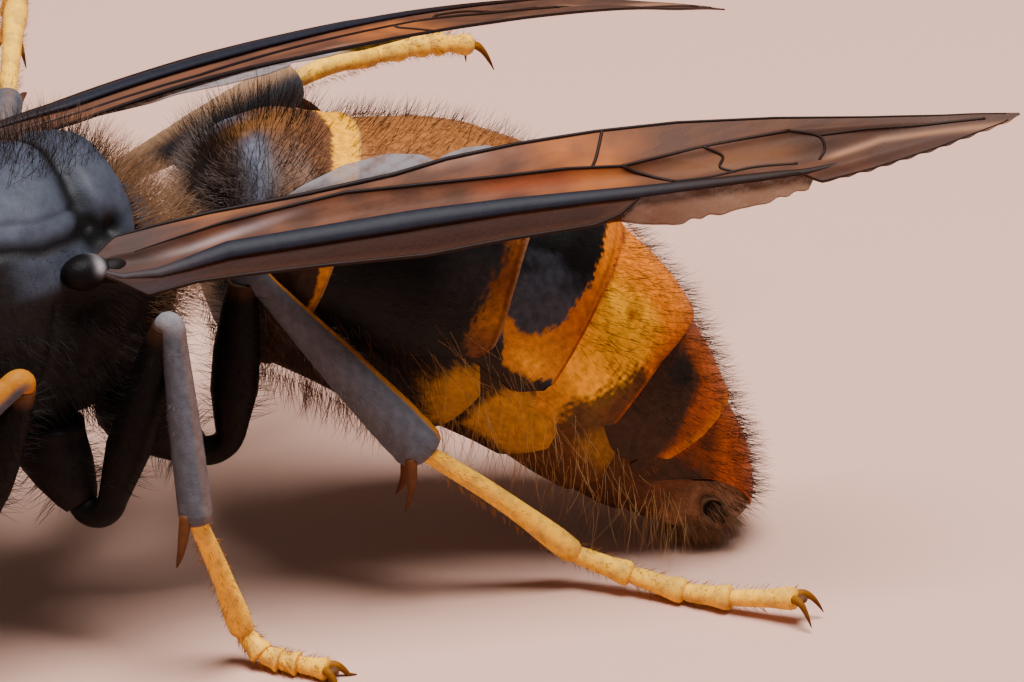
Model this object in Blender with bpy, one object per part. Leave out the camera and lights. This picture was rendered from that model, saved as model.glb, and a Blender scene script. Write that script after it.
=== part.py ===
"""Asian hornet, life size: one closed solid for each part of the body.

The hornet faces -Y with its left side at +X, and stands on z = 0. Sizes are in
millimetres and MM turns them into metres. Places are measured from the waist, the
point of the floor below the hinge of the gaster, until centre_on_footprint moves the
whole model so that the origin is the middle of its footprint.
"""
import math

import bmesh
import bpy
from mathutils import Matrix, Vector

MM = 0.001
GAP = 0.3

# Thorax: (y, half width, top, bottom) of each cross-section, from front to back
PRONOTUM = ((-9.35, 1.2, 9.6, 7.4), (-8.95, 2.1, 10.4, 6.5),
            (-8.4, 2.6, 11.0, 5.9), (-7.8, 2.85, 11.3, 5.6))
MESOTHORAX = ((-7.5, 2.95, 11.45, 5.2), (-6.3, 3.08, 11.75, 5.0),
              (-4.9, 3.02, 11.85, 5.0), (-3.7, 2.85, 11.75, 5.0))
SCUTELLUM = ((-3.4, 2.75, 11.85, 5.05), (-2.7, 2.55, 11.65, 5.15), (-2.05, 2.3, 11.0, 5.35))
PROPODEUM = ((-1.75, 2.15, 10.6, 5.5), (-1.1, 1.75, 10.0, 6.3), (-0.5, 1.0, 9.2, 7.2))
THORAX_SIDES = 28
BELLY_FLAT = 0.88
TEGULA_ENDS = ((3.35, -4.85, 9.75), (3.4, -3.75, 9.65))
# Tegula: how far along a ring lies, and its radius there
TEGULA_SWELL = ((0.0, 0.19), (0.25, 0.36), (0.5, 0.42), (0.75, 0.36), (1.0, 0.19))
# Long hair as tapering tufts, at these angles from the top, leaning back by a share of its length
TUFT_LENGTH = 1.15
TUFT_RADIUS = 0.15
TUFT_TIP_RADIUS = 0.035
TUFT_DEPTH = 0.3
TUFT_SIDES = 4
THORAX_TUFT_ANGLES = (-36, -18, 0, 18, 36)
GASTER_TUFT_ANGLES = (-16, 0, 16, 32)
GASTER_TUFT_RINGS = (3, 4)
CROWN_LEAN = 0.05
SHIELD_LEAN = 0.5

# Gaster: for each segment the radius where it starts, then the centre and radius of its rings
GASTER = {
    "gaster_1": (0.45, (((0.03, 0.3, 8.35), 0.6), ((0.1, 0.75, 8.4), 1.85), ((0.2, 1.2, 8.4), 2.5),
                        ((0.35, 1.9, 8.25), 2.95), ((0.67, 2.9, 7.82), 3.1))),
    "gaster_2": (2.95, (((1.0, 3.8, 7.5), 3.3), ((1.4, 4.9, 7.08), 3.55),
                        ((1.75, 5.78, 6.7), 3.64), ((2.05, 6.5, 6.4), 3.6))),
    "gaster_3": (3.35, (((2.4, 7.2, 5.97), 3.52), ((2.75, 7.82, 5.42), 3.36), ((3.05, 8.27, 4.98), 3.2))),
    "gaster_4": (2.98, (((3.42, 8.78, 4.4), 3.05), ((3.66, 9.08, 4.02), 2.94), ((3.9, 9.34, 3.64), 2.8))),
    "gaster_5": (2.6, (((4.28, 9.8, 2.98), 2.5), ((4.52, 10.08, 2.62), 2.3), ((4.75, 10.33, 2.28), 2.1))),
    "gaster_6": (1.95, (((5.12, 10.75, 1.72), 1.78), ((5.45, 11.1, 1.22), 1.42),
                        ((5.76, 11.4, 0.74), 0.95), ((5.95, 11.58, 0.42), 0.52))),
}
WAIST = (0.0, -0.15, 8.3)
GASTER_SIDES = 32
ORANGE_SEGMENTS = ("gaster_4", "gaster_5")

# Head: (y, half width, top, bottom) of each cross-section, from the neck to the face
HEAD = ((-9.68, 1.3, 9.9, 7.7), (-9.95, 2.3, 10.8, 6.7), (-10.5, 2.72, 11.2, 6.2), (-11.2, 2.8, 11.3, 6.05),
        (-11.9, 2.62, 11.1, 6.0), (-12.45, 2.2, 10.6, 6.1), (-12.8, 1.6, 9.9, 6.5), (-12.95, 0.8, 9.2, 7.3))
HEAD_SIDES = 32
CHIN_TAPER = 0.34
FACE_SHIELD = ((0.0, -12.4, 7.25), (1.5, 0.55, 1.35))
BROW_RIDGE = ((0.0, -12.7, 9.0), (0.4, 0.38, 0.85))
EYE_CENTRE = (1.98, -11.5, 8.75)
EYE_RADII = (0.9, 1.0, 1.85)
EYE_LEAN = 10.0
# Eye notch: depth, height and spread, as shares of the eye
EYE_NOTCH = (0.3, 0.25, 0.3)
BALL_MERIDIANS = 20
BALL_RINGS = 14
ANTENNA_SCAPE = ((0.6, -12.95, 8.75), (0.8, -13.55, 9.05), (1.25, -14.2, 9.6), (1.75, -14.75, 10.05))
ANTENNA_LASH = ((1.98, -15.0, 10.15), (2.5, -15.8, 10.05), (3.0, -16.7, 9.5),
                (3.35, -17.6, 8.7), (3.55, -18.4, 7.7))
FEELER_RADIUS = 0.26
SCAPE_STEPS = 6
SCAPE_SWELL = 0.2
LASH_JOINTS = 10
LASH_JOINT_SWELL = 1.08
LASH_JOINT_WAIST = 0.96
LASH_TIP = 0.6
MANDIBLE = ((1.42, -12.0, 6.55), (1.5, -12.3, 5.75), (1.2, -12.65, 4.95), (0.38, -12.85, 4.35))
MANDIBLE_SWELL = ((0.0, 0.55), (0.33, 0.62), (0.66, 0.5), (1.0, 0.2))
MANDIBLE_STEPS = 7
MANDIBLE_SIDES = 12
MANDIBLE_SQUASH = 0.7

# Wings: root, tip, how far the middle rises and how the wing rolls down outwards, for each side
WING_PLACES = {
    "left": ((3.2, -3.15, 9.8), (10.2, 16.5, 11.06), 0.0, 35.0),
    "right": ((-3.2, -3.0, 10.5), (-5.0, 19.3, 8.1), 1.15, 8.0),
}
WING_THICKNESS = 0.5
FOREWING_WIDTHS = ((0.0, 1.3), (0.04, 1.6), (0.1, 1.75), (0.25, 2.0), (0.4, 2.32), (0.5, 2.4),
                   (0.62, 1.85), (0.78, 1.55), (0.9, 0.95), (0.97, 0.45), (1.0, 0.28))
FOREWING_SHIFTS = ((0.0, 0.0), (0.4, 0.12), (0.62, 0.36), (0.8, 0.0), (1.0, 0.0))
FOREWING_VEINS = (0.0, 0.3, 0.66, 1.0)
HINDWING_WIDTHS = ((0.05, 0.7), (0.12, 0.95), (0.25, 1.2), (0.4, 1.6), (0.5, 1.85),
                   (0.6, 1.65), (0.68, 1.1), (0.75, 0.4))
HINDWING_SHIFTS = ((0.05, 0.25), (0.25, 0.3), (0.4, 0.4), (0.5, 0.5), (0.6, 0.3), (0.75, -0.15))
HINDWING_VEINS = (0.0, 0.45, 1.0)
VEIN_HEIGHT = 0.13
VEIN_SPREAD = 0.7
# Wing thickness near the tip: its least share, and the width that takes it from there to the full one
THIN_SHARE = 0.45
THIN_WIDTH = 1.5
WING_STEPS = 17
CHORD_CELLS = 8

# Legs: coxa top and end, knee, end of the shin, joints of the foot
LEGS = {
    "front_left": ((1.2, -7.1, 5.1), (1.95, -7.3, 4.25), (4.0, -6.55, 8.2), (3.45, -10.3, 5.65),
                   ((4.1, -11.0, 2.9), (4.35, -11.3, 2.0), (4.6, -11.6, 1.2),
                    (4.85, -12.0, 0.5), (5.4, -12.9, 0.25))),
    "front_right": ((-1.2, -7.1, 5.1), (-1.95, -7.3, 4.25), (-4.6, -7.3, 7.7), (-7.3, -6.9, 4.4),
                    ((-8.3, -6.7, 1.9), (-8.75, -6.6, 1.05), (-9.2, -6.5, 0.4),
                     (-9.7, -6.4, 0.28), (-10.8, -6.1, 0.25))),
    "mid_left": ((1.6, -4.6, 5.1), (2.4, -4.35, 3.95), (4.5, -3.1, 9.0), (5.5, -3.13, 4.1),
                 ((4.95, -1.6, 0.78), (5.45, -1.4, 0.35), (5.85, -1.15, 0.27),
                  (6.2, -0.9, 0.25), (6.8, -0.5, 0.25))),
    "mid_right": ((-1.6, -4.6, 5.1), (-2.45, -4.3, 4.0), (-6.0, -1.4, 6.8), (-9.5, 1.25, 8.5),
                  ((-12.2, 3.2, 9.5), (-12.9, 3.6, 9.35), (-13.5, 3.9, 9.0),
                   (-13.95, 4.1, 8.55), (-14.6, 4.4, 7.6))),
    "hind_left": ((1.45, -2.3, 5.25), (2.05, -1.1, 4.25), (2.96, -0.15, 8.85), (5.2, 3.35, 4.0),
                  ((6.15, 6.85, 0.9), (7.15, 7.75, 0.5), (8.25, 8.5, 0.28),
                   (9.25, 9.1, 0.36), (10.55, 10.0, 0.62))),
    "hind_right": ((-1.45, -2.3, 5.25), (-2.05, -1.1, 4.25), (-4.7, 0.6, 7.9), (-5.7, 7.0, 8.8),
                   ((-6.2, 9.6, 8.7), (-6.45, 10.6, 8.55), (-6.65, 11.4, 8.4),
                    (-6.8, 12.0, 8.25), (-7.1, 13.0, 7.9))),
}
COXA_RADIUS = {"front": 0.78, "mid": 0.85, "hind": 0.82}
COXA_TAPER = 0.42
COXA_STEPS = 4
FEMUR_RADIUS = {"front": 0.5, "mid": 0.52, "hind": 0.55}
TIBIA_RADIUS = {"front": 0.42, "mid": 0.42, "hind": 0.6}
KNEE_RADIUS = 0.3
KNEE_REACH = 0.75
TROCHANTER_LENGTH = 0.8
TROCHANTER_RADIUS = 0.34
BEND_STEPS = 5
# Thigh and shin: how far along a ring lies, and its share of the way to the full radius
FEMUR_SWELL = ((0.1, 0.35), (0.3, 0.9), (0.5, 1.0), (0.72, 0.9), (0.88, 0.5))
TIBIA_SWELL = ((0.25, 0.3), (0.5, 0.62), (0.75, 0.95), (0.92, 1.0), (1.0, 0.75))
TARSUS_RADIUS = 0.26
# Foot: where the rings of the first joint and of the others lie, and how a joint widens
LONG_JOINT_RINGS = (0.0, 0.35, 0.7, 0.93)
SHORT_JOINT_RINGS = (0.08, 0.5, 0.93)
JOINT_START = 0.93
JOINT_GROWTH = 0.2
FOOT_END = 0.85
LIMB_SIDES = 10
FOOT_SIDES = 8
PRICK_SIDES = 6
# Spurs and claws: how far along a ring lies, and its radius
SPUR_LENGTH = 1.2
SPUR_TAPER = ((0.0, 0.2), (0.45, 0.17), (0.8, 0.11), (1.0, 0.04))
SPUR_SETBACK = 0.3
SPUR_ROOT = (0.4, 0.45)
SPUR_LEAN = (0.6, 0.2, 0.75)
SPUR_UNDERSIDE = (0.0, -0.3, -1.0)
CLAW_LENGTH = 0.65
CLAW_TAPER = ((0.0, 0.13), (0.4, 0.11), (0.75, 0.08), (1.0, 0.04))
CLAW_SETBACK = 0.2
CLAW_ROOT_SIDE = 0.1
CLAW_SPREAD = 0.34
CLAW_ARCH = 0.1
CLAW_DROP = 0.55

COLOURS = {
    "black": (0.035, 0.036, 0.042), "slate": (0.13, 0.14, 0.17), "brown": (0.16, 0.07, 0.03),
    "orange": (0.75, 0.26, 0.03), "yellow": (0.85, 0.58, 0.12), "eye": (0.06, 0.025, 0.02),
    "wing": (0.32, 0.13, 0.05),
}


def clear_scene():
    for item in list(bpy.data.objects):
        bpy.data.objects.remove(item, do_unlink=True)


def material(colour_name, roughness):
    key = f"{colour_name}_{int(roughness * 100)}"
    found = bpy.data.materials.get(key)
    if found:
        return found
    made = bpy.data.materials.new(key)
    made.use_nodes = True
    shader = made.node_tree.nodes["Principled BSDF"]
    shader.inputs["Base Color"].default_value = (*COLOURS[colour_name], 1.0)
    shader.inputs["Roughness"].default_value = roughness
    shader.inputs["Metallic"].default_value = 0.0
    return made


def catmull(points, count):
    """Points spread evenly in parameter along a smooth curve through the given points."""
    pts = [Vector(p) for p in points]
    pts = [pts[0] * 2 - pts[1]] + pts + [pts[-1] * 2 - pts[-2]]
    spans = len(pts) - 3
    out = []
    for step in range(count):
        place = spans * step / (count - 1)
        span = min(int(place), spans - 1)
        t = place - span
        a, b, c, d = pts[span:span + 4]
        out.append(0.5 * (2 * b + (c - a) * t + (2 * a - 5 * b + 4 * c - d) * t * t
                          + (3 * b - a - 3 * c + d) * t ** 3))
    return out


def along(table, t):
    """A value read from (place, value) pairs, smooth between them."""
    for (t0, v0), (t1, v1) in zip(table, table[1:]):
        if t <= t1:
            part = (t - t0) / (t1 - t0)
            return v0 + (v1 - v0) * part * part * (3 - 2 * part)
    return table[-1][1]


def solid(name, verts, faces, colour_name, roughness):
    """A named object from points in millimetres, facing out and never below the floor."""
    mesh = bpy.data.meshes.new(name)
    mesh.from_pydata([(v[0] * MM, v[1] * MM, max(v[2], 0.0) * MM) for v in verts], [], faces)
    work = bmesh.new()
    work.from_mesh(mesh)
    bmesh.ops.recalc_face_normals(work, faces=work.faces)
    work.to_mesh(mesh)
    work.free()
    mesh.shade_smooth()
    mesh.set_sharp_from_angle(angle=math.radians(50))
    made = bpy.data.objects.new(name, mesh)
    made.data.materials.append(material(colour_name, roughness))
    bpy.context.scene.collection.objects.link(made)
    return made


def loft(name, rings, colour_name, roughness):
    """A closed body through rings of equally many points, its ends closed by fans."""
    sides = len(rings[0])
    verts = [p for ring in rings for p in ring]
    faces = []
    for row in range(len(rings) - 1):
        for side in range(sides):
            nxt = (side + 1) % sides
            a, b = row * sides + side, row * sides + nxt
            faces.append((a, b, b + sides))
            faces.append((a, b + sides, a + sides))
    for ring, row in ((rings[0], 0), (rings[-1], len(rings) - 1)):
        hub = len(verts)
        verts.append(sum((Vector(p) for p in ring), Vector()) / sides)
        for side in range(sides):
            faces.append((row * sides + side, row * sides + (side + 1) % sides, hub))
    return solid(name, verts, faces, colour_name, roughness)


def tangents(points):
    last = len(points) - 1
    return [(points[min(i + 1, last)] - points[max(i - 1, 0)]).normalized() for i in range(last + 1)]


def circle(centre, direction, radius, sides, squash=1.0, up=Vector((0, 0, 1))):
    """A ring across a direction; squash narrows it in the plane that holds up."""
    across = direction.cross(up)
    if across.length < 0.05:
        across = direction.cross(Vector((1, 0, 0)))
    across.normalize()
    over = across.cross(direction)
    ring = []
    for side in range(sides):
        turn = 2 * math.pi * side / sides
        ring.append(centre + across * (radius * math.cos(turn)) + over * (radius * squash * math.sin(turn)))
    return ring


def tube(name, points, radii, sides, colour_name, roughness, squash=1.0, facing=None):
    """A round limb through points; facing turns its first face to the limb that it grows from."""
    pts = [Vector(p) for p in points]
    directions = tangents(pts)
    if facing:
        directions[0] = facing
    rings = [circle(p, d, r, sides, squash) for p, d, r in zip(pts, directions, radii)]
    return loft(name, rings, colour_name, roughness)


def union(target, pieces):
    """Fuse pieces into the target and keep its largest closed surface."""
    group = bpy.data.collections.new(target.name + "_pieces")
    for piece in pieces:
        bpy.context.scene.collection.objects.unlink(piece)
        group.objects.link(piece)
    join = target.modifiers.new("join", "BOOLEAN")
    join.operation = "UNION"
    join.operand_type = "COLLECTION"
    join.collection = group
    apply_modifiers(target)
    for piece in pieces:
        bpy.data.objects.remove(piece, do_unlink=True)
    bpy.data.collections.remove(group)
    keep_largest(target)


def apply_modifiers(target):
    bpy.context.view_layer.update()
    evaluated = target.evaluated_get(bpy.context.evaluated_depsgraph_get())
    mesh = bpy.data.meshes.new_from_object(evaluated)
    target.modifiers.clear()
    old = target.data
    target.data = mesh
    bpy.data.meshes.remove(old)


def keep_largest(target):
    work = bmesh.new()
    work.from_mesh(target.data)
    bmesh.ops.triangulate(work, faces=work.faces)
    left = set(work.faces)
    islands = []
    while left:
        seed = left.pop()
        island = [seed]
        for face in island:
            for edge in face.edges:
                for other in edge.link_faces:
                    if other in left:
                        left.remove(other)
                        island.append(other)
        islands.append(island)
    islands.sort(key=len)
    for island in islands[:-1]:
        bmesh.ops.delete(work, geom=island, context="FACES")
    work.to_mesh(target.data)
    work.free()


def body_section(y, half_width, top, bottom, sides, flat=1.0, taper=0.0):
    """A cross-section of the body: flat below 1 cuts its underside level, taper narrows it downwards."""
    middle, half_height = (top + bottom) / 2, (top - bottom) / 2
    ring = []
    for side in range(sides):
        turn = 2 * math.pi * side / sides
        up = math.sin(turn)
        x = half_width * math.cos(turn) * (1 - taper * max(0.0, -up))
        ring.append(Vector((x, y, middle + half_height * max(up, -flat))))
    return ring


def tuft(root, lean):
    """A tapering lock of long hair with its root sunk in the body."""
    ends = (root - lean * TUFT_DEPTH, root + lean * TUFT_LENGTH)
    return tube("tuft", ends, (TUFT_RADIUS, TUFT_TIP_RADIUS), TUFT_SIDES, "black", 0.6)


def thorax():
    plates = {}
    for name, stations in (("pronotum", PRONOTUM), ("mesothorax", MESOTHORAX),
                           ("scutellum", SCUTELLUM), ("propodeum", PROPODEUM)):
        rings = [body_section(*station, THORAX_SIDES, flat=BELLY_FLAT) for station in stations]
        plates[name] = loft(name, rings, "black", 0.6)
    thorax_tufts(plates["mesothorax"], MESOTHORAX, CROWN_LEAN)
    thorax_tufts(plates["scutellum"], SCUTELLUM, SHIELD_LEAN)
    for side, sign in (("left", 1), ("right", -1)):
        tegula(side, sign)


def thorax_tufts(plate, stations, lean_back):
    """Rows of tufts over the top of a plate, midway between its cross-sections."""
    tufts = []
    for before, after in zip(stations, stations[1:]):
        y, half_width, top, bottom = (sum(pair) / 2 for pair in zip(before, after))
        for angle in THORAX_TUFT_ANGLES:
            turn = math.radians(angle)
            height = (top + bottom) / 2 + (top - bottom) / 2 * math.cos(turn)
            root = Vector((half_width * math.sin(turn), y, height))
            tufts.append(tuft(root, Vector((math.sin(turn), lean_back, math.cos(turn))).normalized()))
    union(plate, tufts)


def tegula(side, sign):
    """The small shell that covers the wing root."""
    start, end = mirrored(TEGULA_ENDS, sign)
    rings = [circle(start.lerp(end, t), Vector((0, 1, 0)), radius, LIMB_SIDES) for t, radius in TEGULA_SWELL]
    loft(f"tegula_{side}", rings, "slate", 0.4)


def gaster():
    """Six segments along a curved axis; each starts GAP past the one before, facing the same way."""
    start = Vector(WAIST)
    facing = Vector((0, 1, 0))
    names = list(GASTER)
    for number, name in enumerate(names):
        first_radius, stations = GASTER[name]
        centres = [Vector(centre) for centre, radius in stations]
        following = centres[-1] * 2 - centres[-2]
        if number + 1 < len(names):
            following = Vector(GASTER[names[number + 1]][1][0][0])
        path = [start] + centres + [following]
        directions = [facing] + [(path[i + 1] - path[i - 1]).normalized() for i in range(1, len(path) - 1)]
        radii = [first_radius] + [radius for centre, radius in stations]
        rings = [circle(c, d, r, GASTER_SIDES) for c, d, r in zip(path, directions, radii)]
        plate = loft(name, rings, "orange" if name in ORANGE_SEGMENTS else "brown", 0.4)
        if number == 0:
            gaster_tufts(plate, path, directions, radii)
        facing = directions[-1]
        start = centres[-1] + facing * GAP


def gaster_tufts(plate, path, directions, radii):
    """Tufts that stand round the top of the first segment."""
    tufts = []
    for ring in GASTER_TUFT_RINGS:
        left = directions[ring].cross(Vector((0, 0, 1))).normalized()
        over = left.cross(directions[ring])
        for angle in GASTER_TUFT_ANGLES:
            out = left * math.sin(math.radians(angle)) + over * math.cos(math.radians(angle))
            tufts.append(tuft(path[ring] + out * radii[ring], out))
    union(plate, tufts)


def ball():
    """A sphere of radius 1, to be shaped."""
    bm = bmesh.new()
    bmesh.ops.create_uvsphere(bm, u_segments=BALL_MERIDIANS, v_segments=BALL_RINGS, radius=1.0)
    return bm


def eye_body(name, sign, extra):
    """An upright kidney-shaped eye; extra widens it, for the socket that it sits in."""
    depth, height, spread = EYE_NOTCH
    bm = ball()
    for vert in bm.verts:
        inner = max(0.0, -sign * vert.co.x)
        vert.co.x *= 1 - depth * inner * math.exp(-((vert.co.z - height) / spread) ** 2)
    sizes = [(radius + extra) * MM for radius in EYE_RADII]
    lean = Matrix.Rotation(math.radians(sign * EYE_LEAN), 4, "Y")
    centre = Vector((sign * EYE_CENTRE[0], EYE_CENTRE[1], EYE_CENTRE[2])) * MM
    place = Matrix.Translation(centre) @ lean @ Matrix.Diagonal((*sizes, 1))
    bmesh.ops.transform(bm, matrix=place, verts=bm.verts)
    return from_bmesh(name, bm, "eye", 0.25)


def from_bmesh(name, bm, colour_name, roughness):
    mesh = bpy.data.meshes.new(name)
    bm.to_mesh(mesh)
    bm.free()
    mesh.shade_smooth()
    made = bpy.data.objects.new(name, mesh)
    made.data.materials.append(material(colour_name, roughness))
    bpy.context.scene.collection.objects.link(made)
    return made


def bulge(name, centre, radii):
    """An oval swelling that is fused with the head."""
    bm = ball()
    place = Matrix.Translation(Vector(centre) * MM) @ Matrix.Diagonal((*(Vector(radii) * MM), 1))
    bmesh.ops.transform(bm, matrix=place, verts=bm.verts)
    return from_bmesh(name, bm, "orange", 0.5)


def cut(target, cutter):
    bite = target.modifiers.new("bite", "BOOLEAN")
    bite.operation = "DIFFERENCE"
    bite.object = cutter
    apply_modifiers(target)
    bpy.data.objects.remove(cutter, do_unlink=True)


def head():
    """The skull with its face shield and brow, cut out round the eyes, the jaws and the feelers."""
    rings = [body_section(*station, HEAD_SIDES, taper=CHIN_TAPER) for station in HEAD]
    skull = loft("head", rings, "orange", 0.5)
    union(skull, [bulge("shield", *FACE_SHIELD), bulge("brow", *BROW_RIDGE)])
    for side, sign in (("left", 1), ("right", -1)):
        cut(skull, eye_body("socket", sign, GAP))
        cut(skull, mandible("jaw_socket", sign, GAP))
        cut(skull, scape("feeler_socket", sign, GAP))
        eye_body(f"eye_{side}", sign, 0.0)
        mandible(f"mandible_{side}", sign, 0.0)
        scape(f"antenna_scape_{side}", sign, 0.0)
        lash(f"antenna_lash_{side}", sign)
    keep_largest(skull)


def mirrored(points, sign):
    return [Vector((sign * p[0], p[1], p[2])) for p in points]


def grown(points, extra):
    """The points of a limb with its root moved back by extra, for the socket of that limb."""
    return [points[0] - (points[1] - points[0]).normalized() * extra] + points[1:]


def mandible(name, sign, extra):
    points = grown(catmull(mirrored(MANDIBLE, sign), MANDIBLE_STEPS), extra)
    radii = [along(MANDIBLE_SWELL, i / (MANDIBLE_STEPS - 1)) + extra for i in range(MANDIBLE_STEPS)]
    return tube(name, points, radii, MANDIBLE_SIDES, "brown", 0.35, MANDIBLE_SQUASH)


def scape(name, sign, extra):
    """The long first joint of a feeler, with its root in the face."""
    points = grown(catmull(mirrored(ANTENNA_SCAPE, sign), SCAPE_STEPS), extra)
    radii = [FEELER_RADIUS * (1 + SCAPE_SWELL * i / (SCAPE_STEPS - 1)) + extra for i in range(SCAPE_STEPS)]
    return tube(name, points, radii, FOOT_SIDES, "orange", 0.4)


def lash(name, sign):
    """The jointed outer part of a feeler."""
    steps = LASH_JOINTS * 2 + 1
    points = catmull(mirrored(ANTENNA_LASH, sign), steps)
    shares = [LASH_JOINT_SWELL if i % 2 else LASH_JOINT_WAIST for i in range(steps - 1)] + [LASH_TIP]
    radii = [FEELER_RADIUS * share for share in shares]
    tube(name, points, radii, FOOT_SIDES, "brown", 0.5)


def wing_frame(side, t):
    """Centre, inward chord direction and outward normal of a folded wing at t of its length."""
    root, tip, bow, wing_roll = WING_PLACES[side]
    root, tip = Vector(root), Vector(tip)
    inward = -1 if side == "left" else 1
    centre = root.lerp(tip, t) + Vector((0, 0, 4 * bow * t * (1 - t)))
    forward = (tip - root).normalized()
    roll = math.radians(wing_roll)
    chord = Vector((inward * math.cos(roll), 0, math.sin(roll)))
    chord = (chord - forward * chord.dot(forward)).normalized()
    normal = forward.cross(chord) * (1 if side == "left" else -1)
    return centre, chord, normal


def vane(name, side, widths, veins, shifts, sink, colour_name):
    """A thin wing with its lengthwise veins raised on the upper face, triangulated alike on both."""
    start, end = widths[0][0], widths[-1][0]
    columns = CHORD_CELLS + 1
    upper, lower = [], []
    for step in range(WING_STEPS + 1):
        t = start + (end - start) * step / WING_STEPS
        centre, chord, normal = wing_frame(side, t)
        width = along(widths, t)
        thin = WING_THICKNESS * min(1.0, THIN_SHARE + width / THIN_WIDTH)
        middle = centre + chord * along(shifts, t) - normal * sink
        for column in range(columns):
            c = column / CHORD_CELLS
            ridge = max(math.exp(-((c - vein) * CHORD_CELLS / VEIN_SPREAD) ** 2) for vein in veins)
            point = middle + chord * (width * (c - 0.5))
            upper.append(point + normal * (thin / 2 + VEIN_HEIGHT * ridge * min(1.0, width)))
            lower.append(point - normal * (thin / 2))
    verts = upper + lower
    shift = len(upper)
    faces = []
    for step in range(WING_STEPS):
        for column in range(CHORD_CELLS):
            a = step * columns + column
            b, c, d = a + 1, a + columns + 1, a + columns
            faces += [(a, b, c), (a, c, d)]
            faces += [(a + shift, c + shift, b + shift), (a + shift, d + shift, c + shift)]
    rim = [step * columns for step in range(WING_STEPS + 1)]
    rim += [WING_STEPS * columns + column for column in range(1, columns)]
    rim += [step * columns + CHORD_CELLS for step in range(WING_STEPS - 1, -1, -1)]
    rim += [column for column in range(CHORD_CELLS - 1, 0, -1)]
    for a, b in zip(rim, rim[1:] + rim[:1]):
        faces += [(a, b, b + shift), (a, b + shift, a + shift)]
    solid(name, verts, faces, colour_name, 0.3)


def wings():
    for side in WING_PLACES:
        vane(f"forewing_{side}", side, FOREWING_WIDTHS, FOREWING_VEINS, FOREWING_SHIFTS, 0.0, "wing")
        sink = WING_THICKNESS + GAP + VEIN_HEIGHT
        vane(f"hindwing_{side}", side, HINDWING_WIDTHS, HINDWING_VEINS, HINDWING_SHIFTS, sink, "wing")


def elbow(before, corner, after, reach):
    """Points of an arc round a corner, from reach before it to reach after it, tangent to both lines."""
    come = (corner - before).normalized()
    leave = (after - corner).normalized()
    half = (-come).angle(leave) / 2
    centre = corner + (leave - come).normalized() * (reach / math.cos(half))
    spoke = corner - come * reach - centre
    turn = (math.pi - 2 * half) / BEND_STEPS
    axis = come.cross(leave).normalized()
    return [centre + Matrix.Rotation(turn * step, 3, axis) @ spoke for step in range(BEND_STEPS + 1)]


def leg(name, coxa_top, hip, knee, ankle, foot):
    """One leg; the sharper its knee, the sooner the thigh ends, so that it stays clear of the shin."""
    kind = name.split("_")[0]
    coxa_top, hip, knee, ankle = Vector(coxa_top), Vector(hip), Vector(knee), Vector(ankle)
    fall = (hip - coxa_top).normalized()
    turn = hip + fall * (GAP + TROCHANTER_LENGTH)
    rise = (knee - turn).normalized()
    bend = (-rise).angle(ankle - knee)
    reach = max(KNEE_REACH, (KNEE_RADIUS + GAP / 2) / math.sin(bend / 2))
    coxa(name, kind, coxa_top, hip)
    femur(name, kind, hip + fall * GAP, turn, knee - rise * reach)
    tibia(name, kind, knee - rise * (reach - GAP), knee, ankle)
    tarsus(name, knee, ankle, [Vector(p) for p in foot])


def coxa(name, kind, coxa_top, hip):
    """A stout cone whose flat top meets the underside of the thorax."""
    radius = COXA_RADIUS[kind]
    rings = []
    for step in range(COXA_STEPS + 1):
        t = step / COXA_STEPS
        direction = Vector((0, 0, -1)).lerp((hip - coxa_top).normalized(), t).normalized()
        size = radius * (1.0 - COXA_TAPER * t ** 2)
        rings.append(circle(coxa_top.lerp(hip, t), direction, size, LIMB_SIDES, 1.0, Vector((0, 1, 0))))
    loft(f"coxa_{name}", rings, "black", 0.5)


def femur(name, kind, start, turn, end):
    """Trochanter and thigh: out of the coxa, round a short bend and up to the knee."""
    points = elbow(start, turn, end, TROCHANTER_LENGTH)
    radii = [TROCHANTER_RADIUS] * len(points)
    for share, fullness in FEMUR_SWELL:
        points.append(points[BEND_STEPS].lerp(end, share))
        radii.append(TROCHANTER_RADIUS + (FEMUR_RADIUS[kind] - TROCHANTER_RADIUS) * fullness)
    points.append(end)
    radii.append(KNEE_RADIUS)
    tube(f"femur_{name}", points, radii, LIMB_SIDES, "black", 0.5, facing=(turn - start).normalized())


def tibia(name, kind, start, knee, ankle):
    """Shin with its knee bend and the spurs at its end."""
    points = elbow(start, knee, ankle, (knee - start).length)
    radii = [KNEE_RADIUS] * len(points)
    wide = TIBIA_RADIUS[kind]
    for share, fullness in TIBIA_SWELL:
        points.append(points[BEND_STEPS].lerp(ankle, share))
        radii.append(KNEE_RADIUS + (wide - KNEE_RADIUS) * fullness)
    facing = (knee - start).normalized()
    shin = tube(f"tibia_{name}", points, radii, LIMB_SIDES, "slate", 0.5, facing=facing)
    down = (ankle - knee).normalized()
    under = Vector(SPUR_UNDERSIDE)
    under = (under - down * under.dot(down)).normalized()
    sideways = down.cross(under)
    root_side, root_under = SPUR_ROOT
    lean_down, lean_side, lean_under = SPUR_LEAN
    spurs = []
    for turn in ((-1, 1) if kind != "front" else (1,)):
        root = ankle - down * SPUR_SETBACK + (sideways * (turn * root_side) + under * root_under) * wide
        lean = (down * lean_down + sideways * (turn * lean_side) + under * lean_under).normalized()
        spur_points = [root + lean * (SPUR_LENGTH * t) for t, radius in SPUR_TAPER]
        spur_radii = [radius for t, radius in SPUR_TAPER]
        spurs.append(tube("spur", spur_points, spur_radii, PRICK_SIDES, "brown", 0.4))
    union(shin, spurs)


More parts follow.
